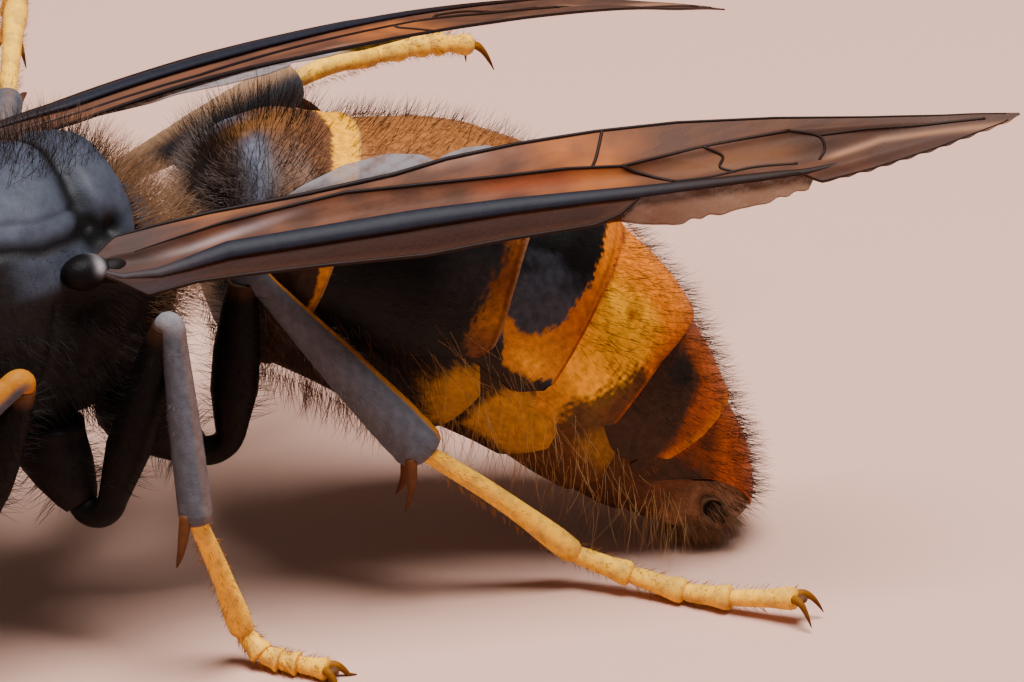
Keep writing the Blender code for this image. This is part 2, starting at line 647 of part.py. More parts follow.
def tarsus(name, knee, ankle, foot):
    """Five foot joints, each a little wider at its far end, and two claws."""
    shin = (ankle - knee).normalized()
    corners = [ankle + shin * GAP] + foot
    points, radii = [], []
    for part, (a, b) in enumerate(zip(corners, corners[1:])):
        for share in LONG_JOINT_RINGS if part == 0 else SHORT_JOINT_RINGS:
            points.append(a.lerp(b, share))
            radii.append(TARSUS_RADIUS * (JOINT_START + JOINT_GROWTH * share))
    points.append(corners[-1])
    radii.append(TARSUS_RADIUS * FOOT_END)
    sole = tube(f"tarsus_{name}", points, radii, FOOT_SIDES, "yellow", 0.45, facing=shin)
    ahead = (corners[-1] - corners[-2]).normalized()
    sideways = ahead.cross(Vector((0, 0, 1))).normalized()
    claws = []
    for turn in (-1, 1):
        root = corners[-1] - ahead * CLAW_SETBACK + sideways * (turn * CLAW_ROOT_SIDE)
        claw_points, claw_radii = [], []
        for t, radius in CLAW_TAPER:
            drop = Vector((0, 0, CLAW_ARCH * math.sin(math.pi * t) - CLAW_DROP * t * t))
            claw_points.append(root + (ahead * CLAW_LENGTH + sideways * (turn * CLAW_SPREAD)) * t + drop)
            claw_radii.append(radius)
        claws.append(tube("claw", claw_points, claw_radii, PRICK_SIDES, "brown", 0.4))
    union(sole, claws)


def legs():
    for name, (coxa_top, hip, knee, ankle, foot) in LEGS.items():
        leg(name, coxa_top, hip, knee, ankle, foot)


def centre_on_footprint():
    """Move every part so that the origin is the middle of the whole model's footprint."""
    corners = [v.co for item in bpy.data.objects for v in item.data.vertices]
    middle_x = (min(c.x for c in corners) + max(c.x for c in corners)) / 2
    middle_y = (min(c.y for c in corners) + max(c.y for c in corners)) / 2
    for item in bpy.data.objects:
        item.data.transform(Matrix.Translation((-middle_x, -middle_y, 0)))


def main():
    clear_scene()
    thorax()
    gaster()
    head()
    wings()
    legs()
    centre_on_footprint()


main()
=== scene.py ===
"""Asian hornet, life size: the look of the model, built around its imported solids.

Places are in millimetres from the waist, the point of the floor below the hinge of the
gaster, with the head towards -Y and the left side towards +X. Angles round the gaster
start at the top and grow towards the left side.
"""
import math

import bpy
import numpy as np
from mathutils import Matrix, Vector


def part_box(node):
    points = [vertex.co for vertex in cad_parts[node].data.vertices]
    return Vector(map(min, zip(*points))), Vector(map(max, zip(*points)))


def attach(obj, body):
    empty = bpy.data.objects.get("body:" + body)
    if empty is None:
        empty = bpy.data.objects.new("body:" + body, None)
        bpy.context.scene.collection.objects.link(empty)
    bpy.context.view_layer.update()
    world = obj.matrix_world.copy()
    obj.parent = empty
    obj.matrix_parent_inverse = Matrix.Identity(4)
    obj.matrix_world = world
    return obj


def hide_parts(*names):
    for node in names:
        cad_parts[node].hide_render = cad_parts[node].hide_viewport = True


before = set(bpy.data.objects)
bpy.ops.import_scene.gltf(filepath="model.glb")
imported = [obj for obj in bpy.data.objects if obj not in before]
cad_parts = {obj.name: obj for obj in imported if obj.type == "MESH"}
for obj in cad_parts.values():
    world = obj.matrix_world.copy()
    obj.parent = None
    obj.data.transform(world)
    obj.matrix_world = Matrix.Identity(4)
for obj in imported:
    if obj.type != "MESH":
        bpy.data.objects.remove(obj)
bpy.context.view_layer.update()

MM = 0.001
SIDES = (("left", 1), ("right", -1))
# Lowest heights over the floor, of the gaster's underside and of feet and hair
FLOOR_GAP = 0.06
ON_FLOOR = 0.01
HEAD_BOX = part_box("head")
WAIST_FACE = 0.15
SHIFT = np.array([(HEAD_BOX[0].x + HEAD_BOX[1].x) / 2,
                  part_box("gaster_1")[0].y + WAIST_FACE * MM, 0.0])

# Gaster: centre and radius along its curved axis
GASTER_AXIS = (
    ((0.0, -0.15, 8.3), 0.45), ((0.03, 0.3, 8.35), 0.6), ((0.1, 0.75, 8.4), 1.85),
    ((0.2, 1.2, 8.4), 2.5), ((0.35, 1.9, 8.25), 2.95), ((0.67, 2.9, 7.82), 3.1),
    ((1.0, 3.8, 7.5), 3.3), ((1.4, 4.9, 7.08), 3.55), ((1.75, 5.78, 6.7), 3.64),
    ((2.05, 6.5, 6.4), 3.6), ((2.4, 7.2, 5.97), 3.52), ((2.75, 7.82, 5.42), 3.36),
    ((3.05, 8.27, 4.98), 3.2), ((3.42, 8.78, 4.4), 3.05), ((3.66, 9.08, 4.02), 2.94),
    ((3.9, 9.34, 3.64), 2.8), ((4.28, 9.8, 2.98), 2.5), ((4.52, 10.08, 2.62), 2.3),
    ((4.75, 10.33, 2.28), 2.1), ((5.12, 10.75, 1.72), 1.78), ((5.45, 11.1, 1.22), 1.42),
    ((5.76, 11.4, 0.74), 0.95), ((5.95, 11.58, 0.42), 0.52))
# Hind margin of each tergite: (angle from the top, place along the axis)
MARGINS = (
    ((0, 0.0), (180, 0.0)),
    ((0, 3.55), (15, 3.51), (39, 3.3), (77, 3.0), (92, 2.96), (112, 2.85), (180, 2.8)),
    ((0, 7.4), (45, 7.44), (58, 7.4), (70, 7.42), (84, 7.53), (93, 7.52), (97, 7.4), (110, 7.3), (180, 7.2)),
    ((0, 9.3), (7, 9.36), (46, 9.45), (65, 9.57), (84, 9.76), (94, 10.0), (99, 10.3), (180, 10.4)),
    ((0, 11.74), (24, 11.65), (41, 11.58), (59, 11.67), (77, 11.8), (90, 11.95), (180, 12.0)),
    ((0, 13.88), (23, 13.85), (45, 13.79), (64, 13.61), (77, 13.47), (90, 13.4), (180, 13.3)),
    ((0, 16.1), (14, 16.0), (40, 15.8), (60, 15.4), (90, 15.0), (180, 15.0)))
# Lower edge of each tergite: (share of its length, angle from the top)
LOWER_EDGES = (
    None,
    ((0.0, 150), (0.5, 132), (1.0, 112)),
    ((0.0, 119), (0.33, 116), (0.53, 109), (0.78, 102), (1.0, 96)),
    ((0.0, 99), (0.3, 101), (0.6, 101), (0.97, 92), (1.0, 91)),
    ((0.0, 101), (0.4, 100), (0.73, 93), (1.0, 83)),
    ((0.0, 84), (0.16, 84), (0.45, 90), (0.65, 90), (0.85, 84), (1.0, 77)),
    ((0.0, 92), (0.28, 96), (0.45, 88), (0.6, 75), (0.8, 52), (0.95, 28), (1.0, 14)))
# The tergites' lower edge along the whole gaster, which covers the upper edge of the sternites
FLANK = ((0.3, 150), (1.5, 132), (3.0, 112), (4.46, 116), (5.33, 109), (6.42, 102), (7.4, 96), (8.9, 101),
         (9.9, 91), (10.3, 100), (10.82, 100), (11.42, 93), (11.95, 83), (12.1, 84), (12.93, 90), (13.47, 78),
         (13.8, 90), (14.12, 94), (14.5, 86), (14.83, 75), (15.3, 48), (15.6, 30), (16.15, 16))
FLANK_COVER = 16
# Hind margin of each sternite
STERNITE_MARGINS = (
    ((0, 0.2), (180, 0.2)),
    ((90, 3.0), (180, 3.0)),
    ((90, 7.3), (101, 7.5), (112, 8.2), (143, 8.2), (180, 8.0)),
    ((85, 9.9), (95, 10.4), (103, 11.0), (114, 11.25), (139, 10.8), (180, 10.6)),
    ((80, 12.2), (95, 12.5), (110, 12.75), (180, 12.6)),
    ((75, 13.6), (95, 13.75), (120, 13.9), (180, 13.8)),
    ((0, 16.1), (180, 16.1)))
# How a tergite tucks under the one before it, and how its free edges roll in
TUCK_LENGTH = 0.45
TUCK_DEPTH = 0.12
CORNER_CUT = 0.22
RIM_TURN = 0.6
RIM_DEPTH = 0.1
TERGITE_LIP = ((0.012, -0.03), (-0.02, -0.085), (-0.3, -0.12))
STERNITE_LIP = ((0.01, -0.06), (-0.3, -0.13))
# Outlines of the markings on the gaster: (place along the axis, angle from the top)
THIRD_BAND = ((8.9, -5), (8.94, 15), (8.97, 30), (9.0, 46), (8.92, 57), (8.84, 67), (8.56, 76), (8.15, 80.5),
              (7.75, 78.5), (7.4, 78), (7.7, 88), (8.0, 92), (8.36, 94), (9.04, 92.5), (9.6, 87), (9.95, 84),
              (9.75, 65), (9.65, 46), (9.6, -5))
FOURTH_BROWN = ((10.5, 88), (10.78, 78), (10.95, 64), (11.15, 52), (11.35, 49), (11.9, 53), (12.0, 80),
                (11.8, 100), (10.9, 104))
FIFTH_SPOT = ((11.82, 41), (11.88, 28), (12.12, 22), (12.45, 24), (12.62, 31), (12.45, 39), (12.1, 42))
SECOND_STERNITE_PATCH = ((6.0, 117), (6.42, 108), (7.0, 101), (7.6, 96), (8.4, 100), (8.4, 143), (7.2, 140))
THIRD_STERNITE_PATCH = ((8.3, 110), (8.9, 99), (9.83, 86), (10.6, 92), (11.5, 108), (11.4, 118), (10.8, 140),
                        (8.6, 136))
# Sternites with a patch: its outline and its strength
STERNITE_PATCHES = {2: (SECOND_STERNITE_PATCH, 0.85), 3: (THIRD_STERNITE_PATCH, 1.0)}
# Millimetres round the gaster in one degree, and the opening's place and half size at its tip
DEGREE = 0.056
VENT_PLACE = (15.5, 76.0)
VENT_SIZE = (0.56, 0.32)

# Thorax: (y, half width, top, bottom) of each cross-section, from the neck to the waist
THORAX = (
    (-9.35, 1.2, 9.6, 7.4), (-8.95, 2.1, 10.4, 6.5), (-8.4, 2.6, 11.0, 5.9), (-7.8, 2.85, 11.3, 5.6),
    (-7.5, 2.95, 11.45, 5.2), (-6.3, 3.08, 11.75, 5.0), (-4.9, 3.02, 11.85, 5.0),
    (-3.7, 2.85, 11.75, 5.0), (-2.7, 2.55, 11.65, 5.15), (-2.05, 2.3, 11.0, 5.35),
    (-1.75, 2.15, 10.6, 5.5), (-1.1, 1.75, 10.0, 6.3), (-0.5, 1.0, 9.2, 7.2), (-0.25, 0.45, 8.75, 7.85))
BELLY_FLAT = 0.88
# Rear edges of scutum and scutellum: (angle from the top, y), and the scutum's side: (y, angle)
SCUTUM_REAR = ((0, -3.75), (20, -3.8), (40, -3.8), (52, -3.65), (62, -3.6))
SCUTELLUM_REAR = ((0, -2.1), (40, -2.05), (58, -2.25), (72, -2.8))
SCUTUM_SIDE = ((-9.3, 46), (-7.6, 50), (-6.2, 49), (-5.1, 54), (-4.4, 53), (-3.5, 48), (-3.0, 56), (-2.3, 66))

# Head: (y, half width, top, bottom) of each cross-section, from the neck to the face
HEAD = (
    (-9.55, 0.9, 9.3, 7.9), (-9.68, 1.3, 9.9, 7.7), (-9.95, 2.3, 10.8, 6.7), (-10.5, 2.72, 11.2, 6.2),
    (-11.2, 2.8, 11.3, 6.05), (-11.9, 2.62, 11.1, 6.0), (-12.45, 2.2, 10.6, 6.1),
    (-12.8, 1.6, 9.9, 6.5), (-12.95, 0.8, 9.2, 7.3), (-13.0, 0.3, 8.7, 7.9), (-13.02, 0.01, 8.31, 8.29))
CHIN_TAPER = 0.34
HEAD_MIDDLE = np.array([0, -11.2, 8.6])
OCELLI = ((0.0, -11.95), (0.28, -11.5), (-0.28, -11.5))
NECK_ENDS = ((0.0, -9.1, 8.55), (0.0, -9.85, 8.6))
NECK_RADIUS = 0.85
EYE_CENTRE = (1.98, -11.5, 8.75)
EYE_RADII = (1.0, 1.1, 1.95)
EYE_LEAN = 10.0
EYE_NOTCH = (0.3, 0.25, 0.3)
# Centre lines of the left feeler's two pieces and of the left mandible
ANTENNA_SCAPE = ((0.6, -12.75, 8.65), (0.8, -13.55, 9.05), (1.25, -14.2, 9.6), (1.75, -14.75, 10.05))
ANTENNA_LASH = ((1.8, -14.8, 10.1), (1.98, -15.0, 10.15), (2.5, -15.8, 10.05), (3.0, -16.7, 9.5),
                (3.35, -17.6, 8.7), (3.55, -18.4, 7.7))
FEELER_RADIUS = 0.26
MANDIBLE = ((1.42, -12.0, 6.55), (1.5, -12.3, 5.75), (1.2, -12.65, 4.95), (0.3, -12.85, 4.3))
# Teeth of a mandible: share of its length, and radius
JAW_TEETH = ((0.62, 0.26), (0.74, 0.24), (0.86, 0.22))

# Wings: root, tip, how far the middle rises and how the wing rolls down outwards, for each side
WING_PLACES = {
    "left": ((3.2, -3.15, 9.8), (10.2, 16.5, 11.06), 0.0, 35.0),
    "right": ((-3.2, -3.0, 10.5), (-5.0, 19.3, 8.1), 1.15, 8.0),
}
# Edges of the forewing and the hindwing: (share of the forewing's length, distance inwards from its
# middle line), and the thickness of a sheet and the hindwing's depth under the forewing
INNER_EDGE = ((-0.06, 0.1), (-0.04, 0.35), (-0.017, 0.68), (0.03, 0.8), (0.09, 0.9), (0.2, 0.97), (0.3, 1.1),
              (0.36, 1.28), (0.44, 1.37), (0.53, 1.36), (0.62, 1.25), (0.73, 0.95),
              (0.835, 0.57), (0.944, 0.24), (1.0, 0.03))
OUTER_EDGE = ((-0.06, -0.1), (-0.04, -0.3), (-0.015, -0.66), (0.003, -0.95), (0.057, -0.82), (0.11, -0.83),
              (0.2, -0.92), (0.31, -1.07), (0.41, -1.02), (0.5, -1.04), (0.53, -0.9), (0.562, -0.5),
              (0.672, -0.6), (0.735, -0.64), (0.76, -0.92), (0.817, -0.81), (0.896, -0.55),
              (0.977, -0.19), (1.0, -0.03))
HIND_OUTER = ((0.02, -0.3), (0.2, -0.7), (0.45, -0.85), (0.53, -0.95), (0.553, -1.1), (0.587, -1.25),
              (0.617, -1.18), (0.674, -1.16), (0.745, -0.93), (0.76, -0.6))
HIND_INNER = ((0.02, 0.3), (0.13, 0.72), (0.16, 0.88), (0.2, 1.22), (0.25, 1.56), (0.3, 1.66), (0.335, 1.5),
              (0.348, 1.28), (0.362, 1.4), (0.385, 1.5), (0.41, 1.46), (0.43, 1.3), (0.5, 1.0), (0.6, 0.4),
              (0.7, -0.3), (0.76, -0.6))
MEMBRANE = 0.04
WING_GAP = 0.14
# A painted highlight line near the root and a pale line near the tip of the forewing, and its veins: (share
# of its length, distance inwards), and the veins' radii
VEIN_SIDES = 12
HIGHLIGHT_LINE = ((0.0, 0.0), (0.06, 0.1), (0.12, 0.35), (0.2, 0.6))
RAY_LINE = ((0.77, -0.29), (0.84, -0.03), (1.0, -0.25))
THICK_VEIN = ((-0.05, -0.1), (-0.02, -0.4), (0.02, -0.45), (0.05, -0.36), (0.1, -0.17), (0.32, -0.18),
              (0.416, -0.24), (0.49, -0.33), (0.562, -0.43), (0.672, -0.54), (0.745, -0.61),
              (0.8, -0.55), (1.0, 0.0))
SECOND_VEIN = ((0.0, 0.2), (0.1, 0.55), (0.24, 0.79), (0.323, 0.68), (0.407, 0.57), (0.486, 0.48),
               (0.547, 0.32), (0.647, 0.42), (0.74, 0.51), (1.0, 0.0))
THICK_RADIUS = ((-0.05, 0.04), (0.02, 0.12), (0.1, 0.22), (0.3, 0.24), (0.5, 0.17), (0.7, 0.11), (0.79, 0.04))
SECOND_RADIUS = ((0, 0.008), (0.1, 0.035), (0.3, 0.045), (0.55, 0.035))
INNER_RADIUS = ((-0.04, 0.008), (0.03, 0.035), (0.24, 0.06), (0.53, 0.04), (1, 0.015))
OUTER_RADIUS = ((-0.04, 0.008), (0.06, 0.05), (0.5, 0.045), (0.56, 0.025), (1, 0.015))
# Other veins: paths of (share of the length, distance inwards), each with its radius last
BRANCHES = (
    ((0.547, 0.32), (0.56, 0.18), (0.573, 0.05), (0.599, -0.26), 0.045),
    ((0.547, 0.32), (0.6, 0.4), (0.647, 0.47), (0.74, 0.51), 0.04),
    ((0.537, 1.32), (0.53, 1.0), (0.522, 0.66), (0.514, 0.4), 0.04),
    ((0.599, -0.26), (0.64, -0.3), (0.69, -0.2), (0.74, -0.3), 0.035),
    ((0.64, 0.46), (0.66, 0.2), (0.655, -0.05), (0.67, -0.26), 0.035),
    ((0.74, 0.51), (0.77, 0.3), (0.775, 0.0), (0.765, -0.3), 0.035),
    ((0.77, 0.3), (0.83, 0.25), (0.9, 0.12), (0.96, 0.02), 0.03),
)

# Legs: coxa top and end, knee, end of the shin, joints of the foot
LEGS = {
    "front_left": ((1.2, -7.1, 5.1), (1.95, -7.3, 4.25), (4.0, -6.55, 8.2), (3.45, -10.3, 5.65),
                   ((4.1, -11.0, 2.9), (4.35, -11.3, 2.0), (4.6, -11.6, 1.2),
                    (4.85, -12.0, 0.5), (5.4, -12.9, 0.25))),
    "front_right": ((-1.2, -7.1, 5.1), (-1.95, -7.3, 4.25), (-4.6, -7.3, 7.7), (-7.3, -6.9, 4.4),
                    ((-8.3, -6.7, 1.9), (-8.75, -6.6, 1.05), (-9.2, -6.5, 0.4),
                     (-9.7, -6.4, 0.28), (-10.8, -6.1, 0.25))),
    "mid_left": ((1.6, -4.6, 5.1), (2.4, -4.35, 3.95), (4.5, -3.1, 9.0), (5.5, -3.13, 4.1),
                 ((4.95, -1.6, 0.78), (5.45, -1.4, 0.35), (5.85, -1.15, 0.27),
                  (6.2, -0.9, 0.25), (6.8, -0.5, 0.25))),
    "mid_right": ((-1.6, -4.6, 5.1), (-2.45, -4.3, 4.0), (-6.0, -1.4, 6.8), (-9.5, 1.25, 8.5),
                  ((-12.2, 3.2, 9.5), (-12.9, 3.6, 9.35), (-13.5, 3.9, 9.0),
                   (-13.95, 4.1, 8.55), (-14.6, 4.4, 7.6))),
    "hind_left": ((1.45, -2.3, 5.25), (2.05, -1.1, 4.25), (2.96, -0.15, 8.85), (5.2, 3.35, 4.0),
                  ((6.15, 6.85, 0.9), (7.15, 7.75, 0.5), (8.25, 8.5, 0.28),
                   (9.25, 9.1, 0.36), (10.55, 10.0, 0.62))),
    "hind_right": ((-1.45, -2.3, 5.25), (-2.05, -1.1, 4.25), (-4.7, 0.6, 7.9), (-5.7, 7.0, 8.8),
                   ((-6.2, 9.6, 8.7), (-6.45, 10.6, 8.55), (-6.65, 11.4, 8.4),
                    (-6.8, 12.0, 8.25), (-7.1, 13.0, 7.9))),
}
COXA_RADIUS = {"front": 0.78, "mid": 0.85, "hind": 0.82}
FEMUR_RADIUS = {"front": 0.5, "mid": 0.52, "hind": 0.55}
TIBIA_RADIUS = {"front": 0.42, "mid": 0.42, "hind": 0.62}
KNEE_RADIUS = 0.3
TROCHANTER_LENGTH = 1.1
TARSUS_RADIUS = 0.26
SPUR_LENGTH = 1.2
CLAW_LENGTH = 0.65
# How far a spur leans along its shin and under it
SPUR_LEAN = {"front": (0.6, 0.5), "mid": (1.0, 0.3), "hind": (0.6, 0.75)}

# Hair: sides of one hair, its size on the bake map, and the height of one limb's strip there
HAIR_SIDES = 3
HAIR_PATCH = 0.003
UV_STRIP = 0.055

# Camera: its place in millimetres, the direction back from the view, and its lens
CAMERA_PLACE = (140.069, -88.704, 79.566)
CAMERA_BACK = (0.74833, -0.52399, 0.40674)
CAMERA_LENS = 275.27
# Floor and lamp, in metres and watts
FLOOR_REACH = 2.0
LAMP_PLACE = (0.05, 0.01, 0.27)
LAMP_TARGET = (0, 0, 0.006)
LAMP_SIZE = 0.16
LAMP_POWER = 1.8


def srgb(red, green, blue):
    """A colour named by its eight-bit display values, as linear light."""
    part = np.array([red, green, blue], float) / 255
    return np.where(part <= 0.04045, part / 12.92, ((part + 0.055) / 1.055) ** 2.4)


BLACK = srgb(12, 9, 9)
SOOT = srgb(22, 17, 16)
UMBER = srgb(46, 27, 16)
BROWN = srgb(98, 60, 36)
RUST = srgb(120, 52, 2)
AMBER = srgb(178, 110, 8)
ORANGE = srgb(212, 112, 0)
DEEP_ORANGE = srgb(160, 68, 0)
GOLD = srgb(255, 176, 4)
YELLOW = srgb(255, 172, 0)
MUSTARD = srgb(174, 122, 26)
STRAW = srgb(255, 190, 52)
SLATE = srgb(60, 63, 74)
TIBIA_GREY = srgb(84, 84, 92)
SILVER = srgb(150, 142, 146)
TAN = srgb(150, 112, 82)
TIBIA_CAP = {"front": AMBER, "mid": SILVER * 0.7, "hind": SLATE}
STERNITE_COLOURS = (None, SOOT, BLACK, UMBER * 0.8, srgb(84, 50, 24), srgb(74, 42, 22), BROWN * 0.9)


def mix(first, second, share):
    """Colours between two colours, one for each share."""
    return first + (second - first) * np.asarray(share)[..., None]


def layers(colour, *coats):
    """A colour under coats of other colours, each with the share that it covers."""
    for shade, share in coats:
        colour = mix(colour, shade, share)
    return colour


def step_up(low, high, value):
    """A smooth step from 0 at low to 1 at high."""
    part = np.clip((value - low) / (high - low), 0, 1)
    return part * part * (3 - 2 * part)


def window(value, start, full, fade, end):
    """1 between full and fade, falling smoothly to 0 at start and end."""
    return step_up(start, full, value) * step_up(end, fade, value)


def hump(distance, width):
    """1 where the distance is 0, fading out over about the width."""
    return np.exp(-(distance / width) ** 2)


def table(pairs, value):
    """A value read between (place, value) pairs."""
    places, values = zip(*pairs)
    return np.interp(value, places, values)


def inside(corners, place, side, degree=DEGREE):
    """Distance in millimetres from a closed outline of (place, angle) corners, negative inside it."""
    height = side * degree
    best = np.full(np.shape(place), np.inf)
    within = np.zeros(np.shape(place), bool)
    for (ax, ay), (bx, by) in zip(corners, corners[1:] + corners[:1]):
        ay, by = ay * degree, by * degree
        dx, dy = bx - ax, by - ay
        share = np.clip(((place - ax) * dx + (height - ay) * dy) / (dx * dx + dy * dy), 0, 1)
        best = np.minimum(best, np.hypot(place - ax - share * dx, height - ay - share * dy))
        if ay != by:
            within ^= ((ay > height) != (by > height)) & (place < ax + dx * (height - ay) / dy)
    return np.where(within, -best, best)


def ripple(points, size, seed):
    """A smooth field that wavers about 0 with waves of about size millimetres."""
    rng = np.random.default_rng(seed)
    flat = points.reshape(-1, 3)
    total = np.zeros(len(flat))
    for octave in range(3):
        for _ in range(5):
            wave = rng.normal(size=3)
            wave *= 2 * math.pi * 2 ** octave / (size * np.linalg.norm(wave))
            total += np.sin(flat @ wave + rng.uniform(0, 2 * math.pi)) / 2 ** octave
    return (total / 4).reshape(points.shape[:-1])


def unit(vectors):
    """The same directions with length 1."""
    return vectors / np.maximum(np.linalg.norm(vectors, axis=-1, keepdims=True), 1e-9)


def mirrored(points, sign):
    """The left side's points for sign 1, and the right side's for sign -1."""
    return [(sign * x, y, z) for x, y, z in points]


def spline(points, count):
    """Points spread evenly in parameter along a smooth curve through the given points."""
    pts = np.array(points, float)
    pts = np.vstack([2 * pts[0] - pts[1], pts, 2 * pts[-1] - pts[-2]])
    place = np.linspace(0, len(pts) - 3, count)
    span = np.minimum(place.astype(int), len(pts) - 4)
    t = (place - span)[:, None]
    a, b, c, d = (pts[span + k] for k in range(4))
    return 0.5 * (2 * b + (c - a) * t + (2 * a - 5 * b + 4 * c - d) * t ** 2
                  + (3 * b - a - 3 * c + d) * t ** 3)


def make(name, points, faces, tint, material, slot, nodes=(), uv=None):
    """A piece of the model from points in millimetres, with its colours and what it stands for."""
    mesh = bpy.data.meshes.new(name)
    points = np.asarray(points, float).reshape(-1, 3)
    faces = np.asarray(faces, np.int32)
    mesh.vertices.add(len(points))
    mesh.vertices.foreach_set("co", ((points * MM) + SHIFT).astype(np.float32).ravel())
    mesh.loops.add(faces.size)
    mesh.loops.foreach_set("vertex_index", faces.ravel())
    mesh.polygons.add(len(faces))
    mesh.polygons.foreach_set("loop_start", np.arange(0, faces.size, faces.shape[1], dtype=np.int32))
    mesh.update(calc_edges=True)
    mesh.validate()
    mesh.shade_smooth()
    tint = np.reshape(tint, (-1, np.shape(tint)[-1]))
    colours = np.ones((len(points), 4), np.float32)
    colours[:, :tint.shape[1]] = tint
    mesh.color_attributes.new("tint", "FLOAT_COLOR", "POINT").data.foreach_set("color", colours.ravel())
    if uv is not None:
        order = np.zeros(len(mesh.loops), np.int32)
        mesh.loops.foreach_get("vertex_index", order)
        layer = mesh.uv_layers.new(name="OFBake")
        layer.data.foreach_set("uv", uv[order].astype(np.float32).ravel())
    piece = bpy.data.objects.new(name, mesh)
    bpy.context.scene.collection.objects.link(piece)
    mesh.materials.append(material)
    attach(piece, "root")
    if nodes:
        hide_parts(*nodes)


def grid_faces(rows, columns, closed=False):
    """Quads over a grid of points, outward where rows run back and columns turn to the left."""
    row = np.arange(rows - 1)[:, None]
    column = np.arange(columns if closed else columns - 1)
    after = (column + 1) % columns
    a, b = row * columns + column, row * columns + after
    return np.stack([a, a + columns, b + columns, b], axis=-1).reshape(-1, 4)


def joined(parts):
    """One set of points, faces and colours from several."""
    points, faces, tints = [], [], []
    start = 0
    for part_points, part_faces, part_tint in parts:
        part_points = np.reshape(part_points, (-1, 3))
        points.append(part_points)
        faces.append(part_faces + start)
        tints.append(np.broadcast_to(np.reshape(part_tint, (-1, 3)), part_points.shape))
        start += len(part_points)
    return np.vstack(points), np.vstack(faces), np.vstack(tints)


# Materials

def new_material(name, roughness, gloss):
    """A material and its shader node."""
    made = bpy.data.materials.new(name)
    made.use_nodes = True
    shader = made.node_tree.nodes["Principled BSDF"]
    feed(made, shader, {"Roughness": roughness, "Specular IOR Level": gloss})
    return made, shader


def feed(made, item, inputs):
    """Give a node's inputs their values, or link them to the outputs of other nodes."""
    for key, value in inputs.items():
        if isinstance(value, bpy.types.NodeSocket):
            made.node_tree.links.new(value, item.inputs[key])
        else:
            item.inputs[key].default_value = value


def node(made, kind, inputs=None, **settings):
    """A new node of this kind; its settings come first, because they decide which inputs it has."""
    item = made.node_tree.nodes.new(kind)
    for key, value in settings.items():
        setattr(item, key, value)
    feed(made, item, inputs or {})
    return item


def tinted(made):
    """The colours that make painted on the mesh."""
    return node(made, "ShaderNodeAttribute", attribute_name="tint").outputs


def object_place(made):
    """The place on the object, for textures that need no map."""
    return node(made, "ShaderNodeTexCoord").outputs["Object"]


def surface(name, roughness, grain, bump, painted_sheen=0.0, variation=0.25, gloss=0.15, coat=0.0):
    """A shell's material: its tint, mottled, with fine punctures of about grain millimetres."""
    made, shader = new_material(name, roughness, gloss)
    place = object_place(made)
    pit = grain * MM
    mottle = node(made, "ShaderNodeTexNoise", {"Scale": 0.3 / pit, "Detail": 5, "Vector": place})
    shade = node(made, "ShaderNodeMapRange", {"From Min": 0.3, "From Max": 0.7, "To Min": 1 - variation,
                                              "To Max": 1 + variation, "Value": mottle.outputs["Fac"]})
    tone = node(made, "ShaderNodeMix",
                {"Factor": 1.0, "A": tinted(made)["Color"], "B": shade.outputs["Result"]},
                data_type="RGBA", blend_type="MULTIPLY")
    colour = tone.outputs["Result"]
    # Painted sheen: pale pinpoints over the tint, for light caught by a velvet pile
    if painted_sheen:
        colour = add_painted_sheen(made, place, colour, pit, painted_sheen)
    pits = node(made, "ShaderNodeTexVoronoi", {"Scale": 1 / pit, "Vector": place})
    relief = node(made, "ShaderNodeBump", {"Strength": bump, "Distance": pit * 0.35,
                                           "Height": pits.outputs["Distance"]})
    feed(made, shader, {"Base Color": colour, "Normal": relief.outputs["Normal"],
                        "Coat Weight": coat, "Coat Roughness": 0.25})
    return made


def add_painted_sheen(made, place, colour, pit, strength):
    """Painted sheen: pale pinpoints on a dark shell, where its velvet pile catches the light."""
    sheen_noise = node(made, "ShaderNodeTexNoise", {"Scale": 1 / (pit * 0.8), "Detail": 2, "Vector": place})
    pick = node(made, "ShaderNodeMapRange", {"From Min": 0.55, "From Max": 0.75, "To Max": strength,
                                             "Value": sheen_noise.outputs["Fac"]})
    sheened = node(made, "ShaderNodeMix", {"Factor": pick.outputs["Result"], "A": colour,
                                          "B": (*srgb(120, 122, 136), 1)}, data_type="RGBA")
    return sheened.outputs["Result"]


def wing_material(name, roughness, gloss):
    """Smoky amber membrane: its tint's fourth value says how dense it is."""
    made, shader = new_material(name, roughness, gloss)
    tint = tinted(made)
    fuzz = node(made, "ShaderNodeTexNoise", {"Scale": 1 / (0.12 * MM), "Detail": 4,
                                             "Vector": object_place(made)})
    relief = node(made, "ShaderNodeBump", {"Strength": 0.5, "Distance": 0.02 * MM,
                                           "Height": fuzz.outputs["Fac"]})
    feed(made, shader, {"Base Color": tint["Color"], "Alpha": tint["Alpha"],
                        "Normal": relief.outputs["Normal"]})
    return made


def hair_material(name, roughness, gloss):
    """Hair in its own tint."""
    made, shader = new_material(name, roughness, gloss)
    feed(made, shader, {"Base Color": tinted(made)["Color"]})
    return made


SHELL = surface("gaster_shell", 0.45, 0.05, 0.35, variation=0.3, gloss=0.14)
UNDERSIDE = surface("gaster_underside", 0.5, 0.06, 0.4, variation=0.3)
# The thorax's velvet gets a painted sheen of pale pinpoints
THORAX_SKIN = surface("thorax_skin", 0.5, 0.05, 0.16, painted_sheen=0.03, variation=0.12, gloss=0.14)
LEG_SKIN = surface("leg_skin", 0.5, 0.05, 0.3, variation=0.15, gloss=0.07)
HEAD_SKIN = surface("head_skin", 0.42, 0.06, 0.4, variation=0.2, gloss=0.3)
EYE_GLOSS = surface("eye_facets", 0.3, 0.035, 0.3, variation=0.15, gloss=0.35, coat=0.15)
WING_SHEET = wing_material("wing_membrane", 0.55, 0.06)
WING_VEIN = surface("wing_vein", 0.5, 0.05, 0.1, variation=0.15, gloss=0.1)
COAT = hair_material("hair_coat", 0.45, 0.15)


# Gaster

